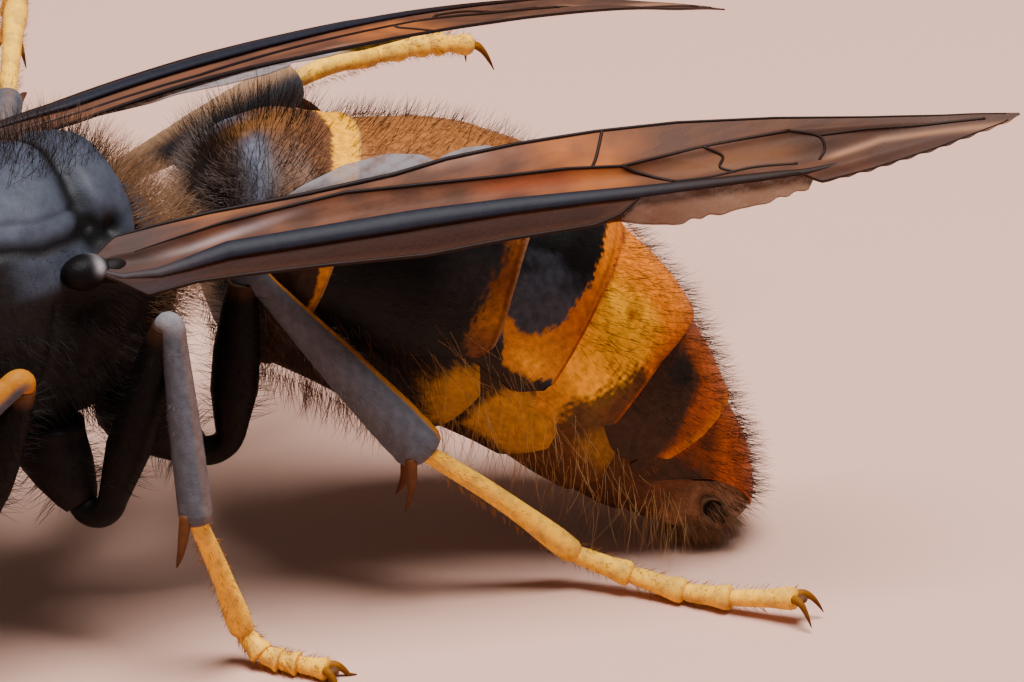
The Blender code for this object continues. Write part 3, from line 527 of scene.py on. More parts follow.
class Axis:
    """The gaster's curved axis, read by the distance along it."""

    def __init__(self, stations, smoothing):
        centres = np.array([centre for centre, radius in stations])
        radii = np.array([radius for centre, radius in stations])
        place = np.r_[0, np.cumsum(np.linalg.norm(np.diff(centres, axis=0), axis=1))]
        self.length = place[-1]
        fine = np.linspace(0, self.length, 600)
        raw = np.stack([np.interp(fine, place, centres[:, k]) for k in range(3)], axis=1)
        self.place = fine
        self.centre = self.blurred(raw, smoothing)
        self.radius = self.blurred(np.interp(fine, place, radii)[:, None], smoothing * 0.5)[:, 0]
        self.ahead = unit(self.blurred(np.gradient(self.centre, fine, axis=0), smoothing * 2))
        self.left = unit(np.cross(self.ahead, (0, 0, 1)))
        self.up = np.cross(self.left, self.ahead)

    def blurred(self, values, width):
        """Values averaged over a window along the axis, which shrinks to nothing at both ends."""
        step = self.length / (len(values) - 1)
        total = np.vstack([np.zeros(values.shape[1]), np.cumsum(values, axis=0)])
        out = np.empty_like(values)
        for row in range(len(values)):
            reach = min(int(width / step), row, len(values) - 1 - row)
            out[row] = (total[row + reach + 1] - total[row - reach]) / (2 * reach + 1)
        return out

    def read(self, values, place):
        """Directions or centres at places along the axis."""
        return np.stack([np.interp(place, self.place, values[:, k]) for k in range(3)], axis=-1)

    def reach(self, place):
        """The gaster's radius at places along the axis."""
        return np.interp(place, self.place, self.radius)

    def point(self, place, angle, lift):
        """A point at a place along the axis, an angle in degrees from the top, lifted off the radius."""
        turn = np.radians(angle)[..., None]
        outward = self.read(self.left, place) * np.sin(turn) + self.read(self.up, place) * np.cos(turn)
        return self.read(self.centre, place) + outward * (self.reach(place) + lift)[..., None], outward


AXIS = Axis(GASTER_AXIS, 0.35)


def paint_tergite(number, place, angle, points):
    """The markings of one tergite, with ragged borders between its colours."""
    side = np.abs(angle)
    rough = ripple(points, 1.0, 10 + number)
    grain = ripple(points, 0.16, 30 + number)
    ragged = 0.035 * rough + 0.05 * grain
    edge = table(MARGINS[number], side) - place
    colour = TERGITE_PAINTS[number](place, side, edge, rough, ragged)
    if number == 2:
        rim = table(FLANK, place) - side
        colour = mix(colour, TAN * 0.5, window(rim, -1.5, -0.5, 0.6, 1.6) * 0.7)
    return colour * (1 + 0.1 * grain)[..., None]


def paint_first(place, side, edge, rough, ragged):
    """Dark front, brown back with a painted slate highlight on the ridge before it, and a yellow band."""
    saddle = window(place, 1.1, 1.5, 1.7, 2.6) * step_up(24, 4, side + 6 * rough)
    # Painted highlight: a pale slate band along the shiny ridge between front and back
    ridge = hump(place - 1.42 - 0.006 * (25 - side), 0.2) * window(side, 2, 22, 60, 100)
    width = table(((0, 0.8), (17, 0.76), (41, 0.7), (78, 0.36), (92, 0.24)), side)
    band = step_up(0.04, -0.04, edge - width + ragged)
    gold = mix(YELLOW * 0.85, AMBER * 1.1, step_up(48, 70, side))
    return layers(
        mix(UMBER, SOOT, step_up(1.15, 0.8, place + 0.1 * rough)),
        (BROWN, step_up(1.5, 1.9, place) * step_up(72, 46, side + 8 * rough)),
        (srgb(124, 78, 34), saddle * 0.5),
        (srgb(92, 92, 104), ridge * 0.85),
        (gold, band * step_up(114, 98, side)),
        (TAN * 0.8, step_up(0.08, 0.03, edge) * 0.7))


def paint_second(place, side, edge, rough, ragged):
    """Brown back, black flanks with a painted grey sheen, an orange band and a pale translucent rim."""
    width = table(((0, 0.5), (47, 0.33), (61, 0.5), (73, 0.6), (85, 0.92), (93, 0.85), (99, 0.3)), side)
    strength = table(((0, 0.9), (60, 0.9), (82, 0.85), (95, 0.45), (105, 0.3)), side)
    gold = mix(srgb(124, 66, 20), AMBER * 0.75, hump(side - 80, 8))
    return layers(
        mix(srgb(140, 84, 40), BLACK, step_up(24, 50, side + 8 * rough)),
        # Painted sheen: grey over the black low on the flank
        (srgb(58, 56, 60), hump(side - 66, 12) * step_up(5.0, 6.3, place) * 0.55),
        (gold, step_up(0.14, -0.18, edge - width + 3.0 * ragged) * strength),
        (RUST * 0.4, hump(edge - 0.13, 0.05) * 0.6),
        (TAN * 0.75, step_up(0.075, 0.03, edge) * 0.8))


def paint_third(place, side, edge, rough, ragged):
    """Velvet black with a painted grey-blue sheen on the flanks, and a band along the margin that widens into
    a patch on each flank.
    """
    # Painted sheen: grey-blue over the velvet black on the flanks
    sheen = step_up(44, 62, side + 5 * rough) * step_up(92, 80, side)
    gap = inside(THIRD_BAND, place, side)
    gold = layers(ORANGE * 0.76, (AMBER * 1.15, step_up(60, 78, side)),
                  (GOLD * 0.95, hump(side - 87, 5) * hump(place - 8.7, 0.6) * 0.6))
    return layers(
        mix(BLACK * 0.9, srgb(60, 62, 72), sheen),
        (UMBER * 0.8, step_up(90, 95, side) * 0.8),
        (gold, step_up(0.05, -0.06, gap + 1.6 * ragged)),
        (RUST * 0.8, hump(edge - 0.16, 0.06) * step_up(80, 40, side) * 0.5),
        (DEEP_ORANGE * 0.9, step_up(0.09, 0.04, edge) * 0.9))


def paint_fourth(place, side, edge, rough, ragged):
    """Orange, golden on the flanks with a small reddish spot, and brown low down towards the margin."""
    golden = step_up(20, 44, side + 3 * rough) * step_up(0.15, 0.6, edge + 0.1 * rough)
    spot = hump(side - 40 + 2 * rough, 4.0) * hump(place - 10.36, 0.15)
    gap = inside(FOURTH_BROWN, place, side)
    notch = hump(side - 6, 9) * step_up(9.62, 9.5, place)
    return layers(
        mix(ORANGE, GOLD, golden),
        (AMBER * 0.85, step_up(74, 90, side) * 0.8),
        (DEEP_ORANGE * 0.8, spot * 0.8),
        (UMBER * 1.3, step_up(0.16, -0.22, gap + 3 * ragged) * 0.9),
        (DEEP_ORANGE, step_up(0.4, 0.1, edge) * step_up(60, 30, side) * 0.6),
        (UMBER, notch * 0.8),
        (DEEP_ORANGE * 0.8, step_up(0.08, 0.03, edge) * 0.7))


def paint_fifth(place, side, edge, rough, ragged):
    """Brown with a round black spot, and a wide orange band behind that narrows down the flanks."""
    width = table(((0, 1.5), (20, 1.15), (45, 0.75), (60, 0.42), (76, 0.12), (90, 0.05)), side)
    rust = mix(DEEP_ORANGE * 1.15, RUST * 1.2, step_up(30, 60, side))
    gap = inside(FIFTH_SPOT, place, side, DEGREE * 0.85)
    return layers(
        mix(DEEP_ORANGE * 0.8, UMBER * 1.5, step_up(14, 30, side + 5 * rough)),
        (UMBER, step_up(60, 80, side) * 0.6),
        (rust, step_up(0.14, -0.2, edge - width + 1.6 * ragged)),
        (ORANGE * 0.8, step_up(0.3, 0.05, edge) * 0.7),
        (SOOT * 1.2, step_up(0.08, -0.1, gap + ragged) * 0.95))


def paint_sixth(place, side, edge, rough, ragged):
    """Deep orange with a dusky patch at the front of each flank."""
    dusk = hump(side - 44, 13) * hump(place - 14.05, 0.32)
    return layers(
        mix(DEEP_ORANGE * 1.2, UMBER * 1.6, step_up(46, 66, side + 8 * rough) * step_up(15.2, 14.5, place)),
        (UMBER, dusk * 0.85),
        (TAN * 0.7, step_up(60, 78, side) * step_up(14.3, 15.0, place) * 0.8),
        (DEEP_ORANGE * 1.05, step_up(14.9, 15.6, place + 0.3 * rough) * step_up(62, 44, side) * 0.8))


TERGITE_PAINTS = (None, paint_first, paint_second, paint_third, paint_fourth, paint_fifth, paint_sixth)


def with_lip(place, angle, lift, lip):
    """A plate's grid with the rows of its rolled rim, each given as (further back, lift)."""
    further, higher = np.array(lip).T[..., None]
    return (np.vstack([place, place[-1:] + further]), np.vstack([angle, angle[-1:] + 0 * further]),
            np.vstack([lift, lift[-1:] + higher]))


def tergite(number):
    """One dorsal plate: it starts beneath the plate before it and ends in a thin rolled rim."""
    rows, columns = (110, 260) if number in (2, 3, 4) else (90, 220)
    along = (1 - (1 - np.linspace(0, 1, rows)) ** 1.35)[:, None]
    across = np.linspace(-1, 1, columns)
    angle = table(LOWER_EDGES[number], along) * across
    before = table(MARGINS[number - 1], np.abs(angle))
    end = table(MARGINS[number], np.abs(angle)) - CORNER_CUT * step_up(0.9, 1.0, np.abs(across)) ** 2
    start = before - (TUCK_LENGTH if number > 1 else 0)
    place = start + (end - start) * along
    share = (place - before) / (end - before)
    lift = 0.02 * step_up(0.97, 0.995, share)
    if number > 1:
        lift = lift - TUCK_DEPTH * (1 - step_up(0.0, 0.7, share))
    place, angle, lift = with_lip(place, angle, lift, TERGITE_LIP)
    place = np.hstack([place[:, :1], place, place[:, -1:]])
    angle = np.hstack([angle[:, :1] + RIM_TURN, angle, angle[:, -1:] - RIM_TURN])
    lift = np.hstack([lift[:, :1] - RIM_DEPTH, lift, lift[:, -1:] - RIM_DEPTH])
    points, outward = AXIS.point(place, angle, lift)
    points = points + outward * (0.012 * ripple(points, 1.1, 50 + number))[..., None]
    make(f"tergite_{number}", points, grid_faces(*place.shape), paint_tergite(number, place, angle, points),
         SHELL, "cuticle_brown", (f"gaster_{number}",))


def paint_sternite(number, place, side, points):
    """The underside's markings, from the left flank round to the right one."""
    rough = ripple(points, 0.8, 70 + number)
    grain = ripple(points, 0.14, 80 + number)
    base = STERNITE_COLOURS[number]
    colour = mix(base, base * 0.6, step_up(120, 165, side + 10 * rough))
    if number in STERNITE_PATCHES:
        outline, strength = STERNITE_PATCHES[number]
        gap = inside(outline, place, side) + 0.125 * rough + 0.15 * grain
        colour = mix(colour, MUSTARD * strength, step_up(0.14, -0.35, gap))
    if number == 4:
        colour = mix(colour, MUSTARD * 0.7, step_up(11.3, 11.9, place) * step_up(110, 98, side) * 0.6)
    if number == 6:
        colour = mix(colour, TAN * 0.9, step_up(14.2, 15.2, place) * 0.8)
    return colour * (1 + 0.16 * grain)[..., None]


def sternite(number):
    """One plate of the underside, set a little deeper than the plates above it."""
    rows, columns = 60, 120
    share = np.linspace(-0.15 if number > 1 else 0, 1, rows)[:, None]
    round_way = np.linspace(0, 1, columns)
    side = np.full((rows, columns), 130.0)
    for _ in range(4):
        before, end = table(STERNITE_MARGINS[number - 1], side), table(STERNITE_MARGINS[number], side)
        place = before + (end - before) * share
        flank = table(FLANK, place) - FLANK_COVER
        angle = flank + (360 - 2 * flank) * round_way
        side = np.minimum(angle, 360 - angle)
    lift = -0.22 + 0.09 * step_up(0.0, 0.8, share) - 0.12 * step_up(150, 180, side)
    place, angle, lift = with_lip(place, angle, lift, STERNITE_LIP)
    points, _ = AXIS.point(place, angle, lift)
    points[..., 2] = np.maximum(points[..., 2], FLOOR_GAP)
    tint = paint_sternite(number, place, np.minimum(angle, 360 - angle), points)
    make(f"sternite_{number}", points, grid_faces(*place.shape), tint, UNDERSIDE, "cuticle_brown")


def gaster_core():
    """The dark inside that shows in the slits between plates."""
    place, angle = np.meshgrid(np.linspace(0.3, 15.95, 120), np.arange(0, 360, 6.0), indexing="ij")
    reach = AXIS.reach(place)
    lift = -0.32 - 0.25 * step_up(15.0, 15.9, place) * reach
    points, _ = AXIS.point(place, angle, np.maximum(lift, 0.05 - reach))
    points[..., 2] = np.maximum(points[..., 2], FLOOR_GAP + 0.02)
    make("gaster_inside", points, grid_faces(*place.shape, closed=True), BLACK, UNDERSIDE, "cuticle_black")


def vent():
    """The dark oval opening under the last plate, with a tan lip."""
    around = np.linspace(0, 2 * math.pi, 48, endpoint=False)
    share, turn = np.meshgrid(np.linspace(0, 1, 26), around, indexing="ij")
    place = VENT_PLACE[0] + VENT_SIZE[0] * share * np.cos(turn)
    angle = VENT_PLACE[1] + np.degrees(VENT_SIZE[1] * share * np.sin(turn) / AXIS.reach(place))
    lift = 0.05 * hump(share - 0.8, 0.16) - 0.12 * step_up(0.72, 0.4, share)
    lift = lift - 0.2 * step_up(0.85, 1.0, share)
    points, _ = AXIS.point(place, angle, lift)
    points[..., 2] = np.maximum(points[..., 2], FLOOR_GAP)
    tint = mix(BLACK * 0.5, TAN * 0.45, step_up(0.7, 0.86, share))
    make("gaster_opening", points, grid_faces(*share.shape, closed=True), tint, UNDERSIDE, "cuticle_brown")


def gaster():
    """Six plates above and six below, with the dark inside and the opening."""
    for number in range(1, 7):
        tergite(number)
        sternite(number)
    gaster_core()
    vent()


# Thorax and head

def section(stations, y, angle, flat=1.0, taper=0.0):
    """Points on a lofted body at places y, with the angle in degrees from the top."""
    stations = np.array(stations)
    order = np.argsort(stations[:, 0])
    half, top, bottom = (np.interp(y, stations[order, 0], stations[order, k]) for k in (1, 2, 3))
    turn = np.radians(angle)
    rise = np.cos(turn)
    x = half * np.sin(turn) * (1 - taper * np.maximum(0, -rise))
    z = (top + bottom) / 2 + (top - bottom) / 2 * np.maximum(rise, -flat)
    return np.stack([x, np.broadcast_to(y, x.shape), z], axis=-1)


def round_body(shape, rows, columns, **form):
    """A lofted body as a closed grid: its points, their angles from -180 to 180 and their places y."""
    stations = spline(shape, rows)
    angle = np.broadcast_to(np.arange(columns) * 360 / columns, (rows, columns))
    y = np.broadcast_to(stations[:, :1], angle.shape)
    return section(stations, y, angle, **form), np.where(angle > 180, angle - 360, angle), y


def facing_out(points, middle):
    """Outward directions of a grid of points round a middle."""
    lengthwise = np.gradient(points, axis=0)
    around = np.roll(points, -1, axis=1) - np.roll(points, 1, axis=1)
    normal = unit(np.cross(around, lengthwise))
    away = (normal * (points - middle)).sum(-1, keepdims=True)
    return normal * np.where(away < 0, -1, 1)


def thorax():
    """One skin from the neck to the waist, with its plates parted by grooves."""
    points, signed, y = round_body(THORAX, 300, 288, flat=BELLY_FLAT)
    outward = facing_out(points, points.mean(axis=1, keepdims=True))
    side = np.abs(signed)
    behind = y - table(SCUTUM_REAR, side)
    before = table(SCUTELLUM_REAR, side) - y
    beside = side - table(SCUTUM_SIDE, y)
    wide = table(((0, 0.1), (12, 0.14), (40, 0.34), (60, 0.36)), side)
    suture = hump(behind, wide) * step_up(68, 58, side)
    end = hump(before + 0.1, 0.14) * step_up(80, 72, side)
    rim = hump(beside - 2.5, 3.2) * window(y, -9.2, -8.6, -3.6, -3.2)
    crease = hump(beside + 9, 1.2) * window(y, -7.4, -6.6, -4.0, -3.6)
    collar = hump(y + 7.7 + 0.9 * np.sin(np.radians(side)), 0.1) * step_up(120, 95, side)
    pleura = hump(side - 108 - 14 * np.sin(y), 2.5) * window(y, -8.8, -8.0, -2.8, -2.2)
    upright = hump(y + 5.2 + 0.012 * (side - 90), 0.1) * window(side, 74, 84, 125, 140)
    pit = hump(y + 3.05, 0.3) * hump(side - 56, 6.0)
    hollow = hump(y + 4.2, 0.9) * hump(side - 84, 8.0)
    midline = hump(signed, 1.2) * step_up(-4.2, -4.8, y)
    grooves = ((suture, 0.06 + 0.12 * step_up(12, 45, side), 1.0), (end, 0.1, 1.0), (rim, 0.08, 1.0),
               (crease, 0.02, 0.4), (collar, 0.1, 1.0), (pleura, 0.07, 0.6), (upright, 0.05, 0.5),
               (pit, 0.34, 1.5), (hollow, 0.2, 0.7), (midline, 0.01, 0.0))
    crown = step_up(0.1, 0.55, behind) * step_up(0.0, 0.55, before) * step_up(70, 54, side)
    cut = sum(groove * depth for groove, depth, dark in grooves)
    lift = 0.1 * crown - 0.1 + 0.03 * ripple(points, 1.8, 5) - cut
    shadow = np.clip(sum(groove * dark for groove, depth, dark in grooves), 0, 1)
    points = points + outward * lift[..., None]
    band = step_up(3, 8, beside) * step_up(76, 70, side) * window(y, -6.4, -5.4, -4.0, -3.3)
    colour = layers(SOOT, (SLATE, step_up(4, 0, beside)), (SLATE * 0.85, crown * 0.8), (SLATE * 0.8, band),
                    (BLACK * 0.6, shadow * 0.95))
    colour = colour * (1 + 0.14 * ripple(points, 0.7, 6))[..., None]
    make("thorax_skin", points, grid_faces(*signed.shape, closed=True), colour, THORAX_SKIN, "cuticle_black",
         ("pronotum", "mesothorax", "scutellum", "propodeum"))
    for name, sign in SIDES:
        tegula(name, sign)


def blob(centre, radii, lean=0.0, rows=40, columns=60, dent=None):
    """An oval body as a closed grid, leaning about the y axis; dent may change its unit points."""
    around = np.linspace(0, 2 * math.pi, columns, endpoint=False)
    fall, turn = np.meshgrid(np.linspace(0, math.pi, rows), around, indexing="ij")
    ball = np.stack([np.sin(fall) * np.cos(turn), np.sin(fall) * np.sin(turn), np.cos(fall)], axis=-1)
    if dent:
        ball = dent(ball)
    shaped = ball * np.array(radii)
    cosine, sine = math.cos(math.radians(lean)), math.sin(math.radians(lean))
    x = shaped[..., 0] * cosine + shaped[..., 2] * sine
    z = -shaped[..., 0] * sine + shaped[..., 2] * cosine
    points = np.stack([x, shaped[..., 1], z], axis=-1) + np.array(centre)
    return points, grid_faces(rows, columns, closed=True)


def tegula(name, sign):
    """The small dark shell over the wing root with a painted pale glint, and the hinge plate behind it."""
    shell, shell_faces = blob((sign * 2.86, -4.3, 9.66), (0.42, 0.6, 0.4), lean=sign * 25)
    hinge, hinge_faces = blob((sign * 2.84, -3.55, 9.54), (0.34, 0.5, 0.3), lean=sign * 10)
    # Painted highlight: a pale glint near the top of the shell
    spot = hump(shell[..., 1] + 4.08, 0.14) * hump(shell[..., 2] - 9.84, 0.16)
    parts = [(shell, shell_faces, mix(BLACK, SILVER * 1.1, spot * 0.9)), (hinge, hinge_faces, SOOT)]
    make(f"wing_cap_{name}", *joined(parts), LEG_SKIN, "cuticle_slate", (f"tegula_{name}",))


def head():
    """The skull: black above and behind, with a brow and a face shield of orange."""
    points, signed, y = round_body(HEAD, 200, 240, taper=CHIN_TAPER)
    outward = facing_out(points, HEAD_MIDDLE)
    x, z = points[..., 0], points[..., 2]
    front = step_up(-12.0, -12.6, y)
    reach = np.hypot(x / 1.5, (z - 7.25) / 1.35)
    shield = np.clip(1 - reach ** 2, 0, 1) * front
    shield_rim = hump(reach - 1, 0.07) * front
    brow = hump(x, 0.42) * hump(z - 9.0, 0.8) * step_up(-12.2, -12.8, y)
    sockets = hump(np.abs(x) - 0.62, 0.3) * hump(z - 8.72, 0.3) * front
    groove = hump(x, 0.05) * step_up(8.9, 9.3, z) * step_up(-11.3, -12.0, y)
    lift = 0.252 * np.sqrt(shield) + 0.22 * brow - 0.14 * sockets - 0.06 * shield_rim - 0.04 * groove
    points = points + outward * (lift + 0.015 * ripple(points, 0.7, 7))[..., None]
    face = step_up(-11.7, -12.2, y) * step_up(10.4, 9.7, z + 0.2 * ripple(points, 0.8, 8))
    cheek = step_up(8.4, 7.6, z) * step_up(-10.6, -11.3, y)
    colour = layers(SOOT * 1.1, (DEEP_ORANGE * 0.9, np.clip(face + cheek * 0.8, 0, 1)),
                    (ORANGE * 0.95, shield * 0.8), (RUST * 0.6, np.clip(shield_rim + sockets, 0, 1) * 0.7))
    make("head_skin", points, grid_faces(*signed.shape, closed=True)[:, ::-1], colour,
         HEAD_SKIN, "cuticle_orange", ("head",))
    make("neck", *tube(np.linspace(*NECK_ENDS, 12), NECK_RADIUS, 40), SOOT, HEAD_SKIN, "cuticle_black")
    ocelli()
    for name, sign in SIDES:
        eye(name, sign)
        mandible(name, sign)
        feeler(name, sign)


def ocelli():
    """Three simple eyes in a triangle on the crown."""
    parts = []
    for x, y in OCELLI:
        crown = section(HEAD, np.array([y]), np.array([0.0]), taper=CHIN_TAPER)[0, 2]
        ball, faces = blob((x, y, crown - 0.02), (0.14, 0.14, 0.12), rows=20, columns=28)
        parts.append((ball, faces, srgb(90, 44, 20)))
    make("ocelli", *joined(parts), EYE_GLOSS, "eye")


def eye(name, sign):
    """A kidney-shaped compound eye."""
    depth, height, width = EYE_NOTCH

    def notch(ball):
        inner = np.maximum(0, -sign * ball[..., 0])
        ball[..., 0] *= 1 - depth * inner * hump(ball[..., 2] - height, width)
        return ball

    centre, = mirrored([EYE_CENTRE], sign)
    points, faces = blob(centre, EYE_RADII, lean=sign * EYE_LEAN, rows=90, columns=110, dent=notch)
    tint = mix(srgb(26, 12, 10), srgb(52, 24, 16), np.clip(0.4 + 0.5 * ripple(points, 1.2, 9), 0, 1))
    make(f"compound_eye_{name}", points, faces, tint, EYE_GLOSS, "eye", (f"eye_{name}",))


def tube(path, radii, sides, squash=1.0, up=(0, 0, 1.0)):
    """A limb along a path, as a closed grid; squash flattens it across the direction up."""
    path = np.asarray(path, float)
    radii = np.broadcast_to(np.asarray(radii, float), (len(path),))
    ahead = unit(np.gradient(path, axis=0))
    side = unit(np.cross(ahead, np.broadcast_to(np.array(up, float), path.shape)))
    over = np.cross(side, ahead)
    turn = np.linspace(0, 2 * math.pi, sides, endpoint=False)
    ring = side[:, None] * np.cos(turn)[None, :, None] * squash + over[:, None] * np.sin(turn)[None, :, None]
    points = path[:, None] + ring * radii[:, None, None]
    points = np.concatenate([path[:1, None].repeat(sides, 1), points, path[-1:, None].repeat(sides, 1)])
    return points, grid_faces(*points.shape[:2], closed=True)


def spread(points):
    """The share along a tube and the turn in degrees round it, for each of its points."""
    rows, columns = points.shape[:2]
    return (np.broadcast_to(np.linspace(0, 1, rows)[:, None], (rows, columns)),
            np.broadcast_to(np.arange(columns) * 360 / columns, (rows, columns)))


def underneath(points, full=-0.5):
    """How far each point of a tube lies on its underside."""
    return step_up(0.2, full, np.sin(np.radians(spread(points)[1])))


def mandible(name, sign):
    """A stout curved jaw with dark teeth along its inner edge."""
    path = spline(mirrored(MANDIBLE, sign), 40)
    radii = table(((0, 0.6), (0.33, 0.68), (0.66, 0.55), (0.9, 0.33), (1, 0.12)), np.linspace(0, 1, 40))
    blade, faces = tube(path, radii, 28, squash=0.7, up=(0, 1.0, 0))
    parts = [(blade, faces, mix(AMBER * 0.95, BLACK, step_up(0.55, 0.85, spread(blade)[0])))]
    for place, size in JAW_TEETH:
        root = path[int(place * 39)]
        end = root + np.array([-sign * 0.62, -0.1, -0.1])
        parts.append((*tube(np.linspace(root, end, 8), size * np.linspace(1, 0.2, 8), 12), BLACK))
    make(f"jaw_{name}", *joined(parts), HEAD_SKIN, "cuticle_brown", (f"mandible_{name}",))


def feeler(name, sign):
    """A feeler: its long first joint, and a lash of eleven joints that starts at the elbow."""
    path = spline(mirrored(ANTENNA_SCAPE, sign), 40)
    elbow = path[-3:-1].mean(axis=0)
    share = np.linspace(0, 1, 40)
    swell = 0.72 + 0.42 * step_up(0, 0.7, share) - 0.2 * step_up(0.94, 1, share)
    scape, faces = tube(path, FEELER_RADIUS * swell, 20)
    make(f"feeler_base_{name}", scape, faces, mix(SOOT, AMBER, underneath(scape)), HEAD_SKIN,
         "cuticle_orange", (f"antenna_scape_{name}",))
    path = spline([elbow, *mirrored(ANTENNA_LASH, sign)], 180)
    share = np.linspace(0, 1, 180)
    joint = share * 11 % 1
    pinch = 0.8 + 0.22 * step_up(0, 0.12, np.minimum(joint, 1 - joint))
    taper = table(((0, 0.85), (0.1, 1), (0.9, 1), (1, 0.55)), share)
    lash, faces = tube(path, FEELER_RADIUS * pinch * taper, 20)
    make(f"feeler_lash_{name}", lash, faces, mix(SOOT, RUST, underneath(lash) * 0.8), HEAD_SKIN,
         "cuticle_brown", (f"antenna_lash_{name}",))


# Wings

def wing_point(side, t, offset, rise):
    """A point of a wing: share of its length, distance inwards from its middle line, and height off it."""
    root, tip, bow, wing_roll = WING_PLACES[side]
    root, tip = np.array(root), np.array(tip)
    inward = -1 if side == "left" else 1
    t, offset, rise = np.broadcast_arrays(np.asarray(t, float), offset, rise)
    centre = root + (tip - root) * t[..., None]
    centre[..., 2] += 4 * bow * t * (1 - t)
    ahead = unit(tip - root)
    turn = math.radians(wing_roll)
    chord = np.array([inward * math.cos(turn), 0, math.sin(turn)])
    chord = unit(chord - ahead * (chord @ ahead))
    normal = np.cross(ahead, chord) * -inward
    return centre + chord * offset[..., None] + normal * rise[..., None]


def pleat(t, offset):
    """The folded forewing's relief: a ridge along each strong vein and shallow folds between."""
    beside = offset - table(THICK_VEIN, t)
    relief = 0.1 * hump(beside, 0.16) - 0.1 * hump(beside - 0.45, 0.25) - 0.12 * step_up(-0.25, -1.1, beside)
    relief = relief + 0.07 * hump(offset - table(SECOND_VEIN, t), 0.1)
    return relief * step_up(1.0, 0.8, t)


def with_density(colour, density):
    """Colours whose fourth value says how dense the membrane is."""
    return np.concatenate([colour, density[..., None]], axis=-1)


def paint_forewing(t, offset, inner, outer, points):
    """Smoky brown between dark veins, amber where the membrane is single, dusky at the tip, with painted
    pinkish grey highlights towards the root.
    """
    thick, second = table(THICK_VEIN, t), table(SECOND_VEIN, t)
    soft = ripple(points, 1.6, 21)
    streak = ripple(points * np.array([2.2, 0.35, 2.2]), 0.9, 22)
    between = (offset - thick) / np.maximum(second - thick, 0.05)
    below = step_up(-0.05, -0.3, offset - thick)
    # Painted highlight: a pale pinkish streak near the root
    painted_highlight = hump(offset - table(HIGHLIGHT_LINE, t), 0.1) * window(t, 0.0, 0.04, 0.12, 0.22)
    ray = hump(offset - table(RAY_LINE, t), 0.09) * step_up(0.76, 0.79, t)
    colour = layers(
        mix(srgb(74, 38, 22), srgb(100, 54, 30), np.clip(0.5 + streak, 0, 1)),
        # Painted highlight: pinkish grey between the second vein and the inner edge
        (srgb(150, 104, 84), step_up(0.55, 1.0, offset - second + 0.3) * window(t, 0.22, 0.28, 0.4, 0.47)
         * np.clip(0.65 + 0.6 * soft, 0, 1)),
        (srgb(176, 92, 26), window(t, 0.42, 0.5, 0.53, 0.6) * step_up(0.1, 0.4, between)
         * np.clip(0.7 + 0.5 * soft, 0, 1)),
        (srgb(150, 60, 12), window(t, 0.36, 0.42, 0.47, 0.53) * hump(between - 0.75, 0.25) * 0.8),
        (srgb(150, 80, 24), window(t, 0.02, 0.08, 0.1, 0.2) * step_up(0.25, 0.05, inner - offset) * 0.8),
        (srgb(150, 128, 126), painted_highlight * 0.8),
        (srgb(40, 18, 10), below * step_up(0.6, 0.5, t) * 0.95),
        (srgb(66, 36, 24), step_up(0.25, 0.05, offset - outer) * step_up(0.6, 0.5, t) * 0.7),
        (srgb(46, 34, 36), step_up(0.09, 0.01, t) * 0.85),
        (srgb(170, 104, 58), hump(offset - 0.05, 0.2) * window(t, 0.56, 0.62, 0.72, 0.77) * 0.6),
        (srgb(44, 24, 16), hump(t - 0.775, 0.045) * hump(offset - 0.2, 0.5) * 0.8),
        (srgb(66, 40, 34), step_up(0.78, 0.86, t) * 0.85))
    colour = colour * (1 - 0.3 * step_up(0.5, 0.62, t))[..., None]
    colour = layers(colour, (srgb(112, 90, 80), 0.22 * (1 - below * step_up(0.62, 0.52, t))),
                    (srgb(160, 112, 84), ray * 0.7))
    density = 0.96 - 0.1 * step_up(0.36, 0.5, t) * step_up(-0.1, 0.15, offset - thick)
    density = density + 0.2 * hump(t - 0.775, 0.05) + 0.1 * below * step_up(0.6, 0.5, t)
    return with_density(colour, np.clip(density + 0.05 * streak, 0.3, 1))


def sheet_mesh(upper, lower):
    """A thin closed sheet from the grids of its two faces."""
    rows, columns = upper.shape[:2]
    count = rows * columns
    top = grid_faces(rows, columns)
    base = top[:, ::-1] + count
    grid = np.arange(count).reshape(rows, columns)
    rim = np.concatenate([grid[:, 0], grid[-1, 1:], grid[-2::-1, -1], grid[0, -2:0:-1]])
    after = np.roll(rim, -1)
    wall = np.stack([rim, rim + count, after + count, after], axis=-1)
    return np.concatenate([upper.reshape(-1, 3), lower.reshape(-1, 3)]), np.vstack([top, base, wall])


def across_wing(inner, outer, columns):
    """Distances from the middle line, spread across a wing between its edges."""
    return outer + (inner - outer) * np.linspace(0, 1, columns)


def membrane(name, side, t, offset, rise, paint):
    """A wing's thin sheet; paint gives the colours of its points, alike on both faces."""
    upper, lower = (wing_point(side, t, offset, rise - depth) for depth in (0, MEMBRANE))
    tint = paint(upper).reshape(-1, 4)
    make(f"{name}_sheet_{side}", *sheet_mesh(upper, lower), np.vstack([tint, tint]), WING_SHEET, "wing",
         (f"{name}_{side}",))


def forewing(side):
    """The folded forewing with its scalloped outer margin and its veins."""
    t = np.linspace(-0.06, 1.0, 420)[:, None]
    inner, outer = table(INNER_EDGE, t), table(OUTER_EDGE, t)
    scallop = 0.02 * np.sin(t * 260) * step_up(0.75, 0.8, t)
    offset = across_wing(inner, outer + scallop, 64)
    membrane("forewing", side, t, offset, pleat(t, offset),
             lambda points: paint_forewing(t, offset, inner, outer, points))
    wing_veins(side)


def vein(side, places, offsets, radii, colour, flat=1.0, sink=0.0):
    """A raised vein that follows a path on the wing; flat below 1 presses it down."""
    path = wing_point(side, places, offsets, pleat(places, offsets) - sink)
    points, faces = tube(path, radii, VEIN_SIDES)
    spine = np.concatenate([path[:1], path, path[-1:]])[:, None]
    lift = wing_point(side, 0.5, 0.0, 1.0) - wing_point(side, 0.5, 0.0, 0.0)
    height = ((points - spine) @ lift)[..., None] * lift
    return points - height * (1 - flat), faces, colour


